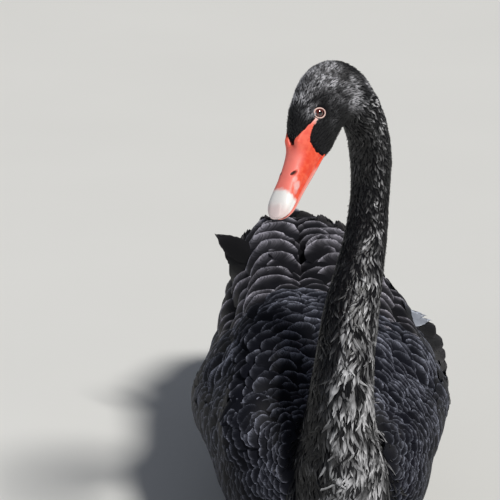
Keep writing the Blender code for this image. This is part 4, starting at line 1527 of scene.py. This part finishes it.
# %% Eyes and lids
def eye(side):
    """One eyeball and its lid, on the left for side 1 and on the right for -1."""
    label = "left" if side > 0 else "right"
    centre = np.array([EYE_AT[0], side * EYE_AT[1], EYE_AT[2]])
    axis = unit(np.array([0.34, side * 1.0, 0.20]))
    slant = unit(np.array([0.55, side * 1.0, 0.45]))
    sight = axis @ HEAD_AXES
    first = unit(np.cross(axis, (0, 0, 1.0)))
    second = np.cross(axis, first)

    def away(angle):
        """Directions across the axis at one angle or more."""
        return np.cos(angle)[..., None] * first + np.sin(angle)[..., None] * second

    def on_face(place):
        """The skin under a place near the eye."""
        return np.array(skin_tree.ray_cast(Vector(in_head(place + axis * 0.02)), Vector(-sight), 0.04)[0])

    rings = []
    for polar in np.linspace(0.04, pi - 0.04, 26):
        bulge = 1 + 0.10 * smooth(sin(polar), 0.75, 0.0) * (cos(polar) > 0)
        way = cos(polar) * axis + sin(polar) * away(circle(40))
        rings.append(in_head(centre + EYE_RADIUS * bulge * way))
    ball = closed_loft("eyeball_" + label, rings)
    spots = to_head(vertex_array(ball.data)) - centre
    off = np.linalg.norm(spots - (spots @ axis)[:, None] * axis, axis=1) * 1000
    stored(ball.data, "gaze", np.where(spots @ axis > 0, off, NOT_SEEN))
    placed(ball, "eye", eye_finish, "eye_" + label)
    rest = to_head(on_face(centre))
    points = []
    for way in away(circle(LID_STEPS)):
        radius = 0.0045 + 0.0012 * (way @ (0.707, 0, 0.707)) ** 2
        for angle in circle(LID_AROUND):
            hit = on_face(centre + way * (radius + LID_RADIUS * cos(angle)))
            level = 0.5 * ((rest - to_head(hit)) @ slant) / (axis @ slant)
            points.append(hit + sight * (level + 0.00055 + LID_RADIUS * sin(angle)))
    lid = mesh_object("eye_lid_" + label, points, ring_faces(LID_STEPS, LID_AROUND, closed=True))
    outward(lid)
    placed(lid, "bill", lid_finish)


eye(1)
eye(-1)
print("eyes set", round(EYE_RADIUS * 2000, 1), "mm across")

# %% [markdown]
# ## Legs and feet
# The legs are folded on the floor under the flanks. Their skin is dark grey and scaly. Copies of the solids are
# remeshed and relaxed so that toes and web run into each other, and each toe gets a short curved claw.

# %% Legs, feet and claws
foot_finish, tree, shader = material("foot_scales", Roughness=0.5, Specular_IOR_Level=0.5)
cells = add_node(tree, "ShaderNodeTexVoronoi", {"Vector": object_place(tree), "Scale": 480.0},
                 feature="DISTANCE_TO_EDGE")
scale_edge = ramp(cells.outputs["Distance"], 0.02, 0.20)
grey = blend(noise(object_place(tree), 120.0, 3.0), (0.020, 0.020, 0.022, 1), (0.055, 0.053, 0.052, 1))
feed(shader, Base_Color=blend(scale_edge, (0.010, 0.010, 0.010, 1), grey), Normal=bump(scale_edge, 0.7, 0.0006))
claw_finish = speckled("claw_horn", 300.0, (0.006, 0.006, 0.006), (0.02, 0.018, 0.016), Roughness=0.3,
                       Specular_IOR_Level=0.5)
SHANK_VOXEL, FOOT_VOXEL = 0.0011, 0.0009
# where the toes of the left foot meet, as x and y, and how far outwards and forwards of it each toe ends
TOE_ROOT = (0.090, 0.046)
TOE_TIPS = [(-0.011, 0.080), (0.004, 0.100), (0.023, 0.084)]
CLAW_LENGTH = 0.0075


def limb(label, source, voxel):
    piece = mesh_object(label, *joined([source])[:2])
    merged(piece)
    melted(piece, voxel, 2)
    piece.data.shade_smooth()
    placed(piece, "feet", foot_finish, source)


def claw(label, tip, heading):
    """A short horn curved down to the floor, from a toe's tip along its heading."""
    theta = circle(10)[:, None]
    side, up = np.array([heading[1], -heading[0], 0.0]), np.array([0, 0, 1.0])
    rings = []
    for share in np.linspace(0, 1, 7):
        middle = tip + heading * CLAW_LENGTH * share + up * (0.0030 - 0.0024 * share**1.6)
        radius = 0.0019 * (1 - share) ** 0.7 + 0.00015
        rings.append(middle + radius * (np.cos(theta) * side + np.sin(theta) * up))
    placed(closed_loft(label, rings), "feet", claw_finish)


for label, side in (("left", 1), ("right", -1)):
    limb("shank_" + label, "leg_" + label, SHANK_VOXEL)
    limb("webbed_foot_" + label, "foot_" + label, FOOT_VOXEL)
    for k, (out, forward) in enumerate(TOE_TIPS):
        heading = unit(np.array([side * out, -forward, 0.0]))
        tip = np.array([side * (TOE_ROOT[0] + out), TOE_ROOT[1] - forward, 0.0]) - heading * 0.002
        claw(f"claw_{label}_{k}", tip, heading)
print("legs and feet done")

# %% [markdown]
# ## Floor and light
# A wide pale floor, one large warm lamp high on the right as the sun was, a weak cool fill from the left, and a dim
# bluish sky.

# %% Studio
floor = mesh_object("studio_floor", [(-12, -6, 0), (12, -6, 0), (12, 14, 0), (-12, 14, 0)], [(0, 1, 2, 3)])
floor.data.materials.append(speckled("studio_floor", 3.0, (0.76, 0.76, 0.74), (0.80, 0.80, 0.78), Roughness=0.85))
world = bpy.data.worlds.new("studio")
bpy.context.scene.world = world
world.use_nodes = True
feed(world.node_tree.nodes["Background"], Color=(0.80, 0.86, 1.0, 1), Strength=0.13)


def lamp(name, kind, place, target, size, power, colour):
    """A light at a place, aimed at a target. The size is an angle for a sun and metres for a panel."""
    light = bpy.data.lights.new(name, kind)
    setattr(light, "angle" if kind == "SUN" else "size", size)
    light.energy, light.color = power, colour
    holder = bpy.data.objects.new(name, light)
    holder.location = place
    holder.rotation_euler = (Vector(target) - Vector(place)).to_track_quat("-Z", "Y").to_euler()
    bpy.context.collection.objects.link(holder)


MIDDLE = (0, 0, 0.25)
lamp("key", "SUN", (1.25, -1.35, 2.50), MIDDLE, radians(12), 3.1, (1.0, 0.98, 0.94))
lamp("fill", "AREA", (-2.0, -2.0, 1.2), MIDDLE, 1.6, 8, (0.80, 0.88, 1.0))
bpy.context.scene.view_settings.view_transform = "Standard"
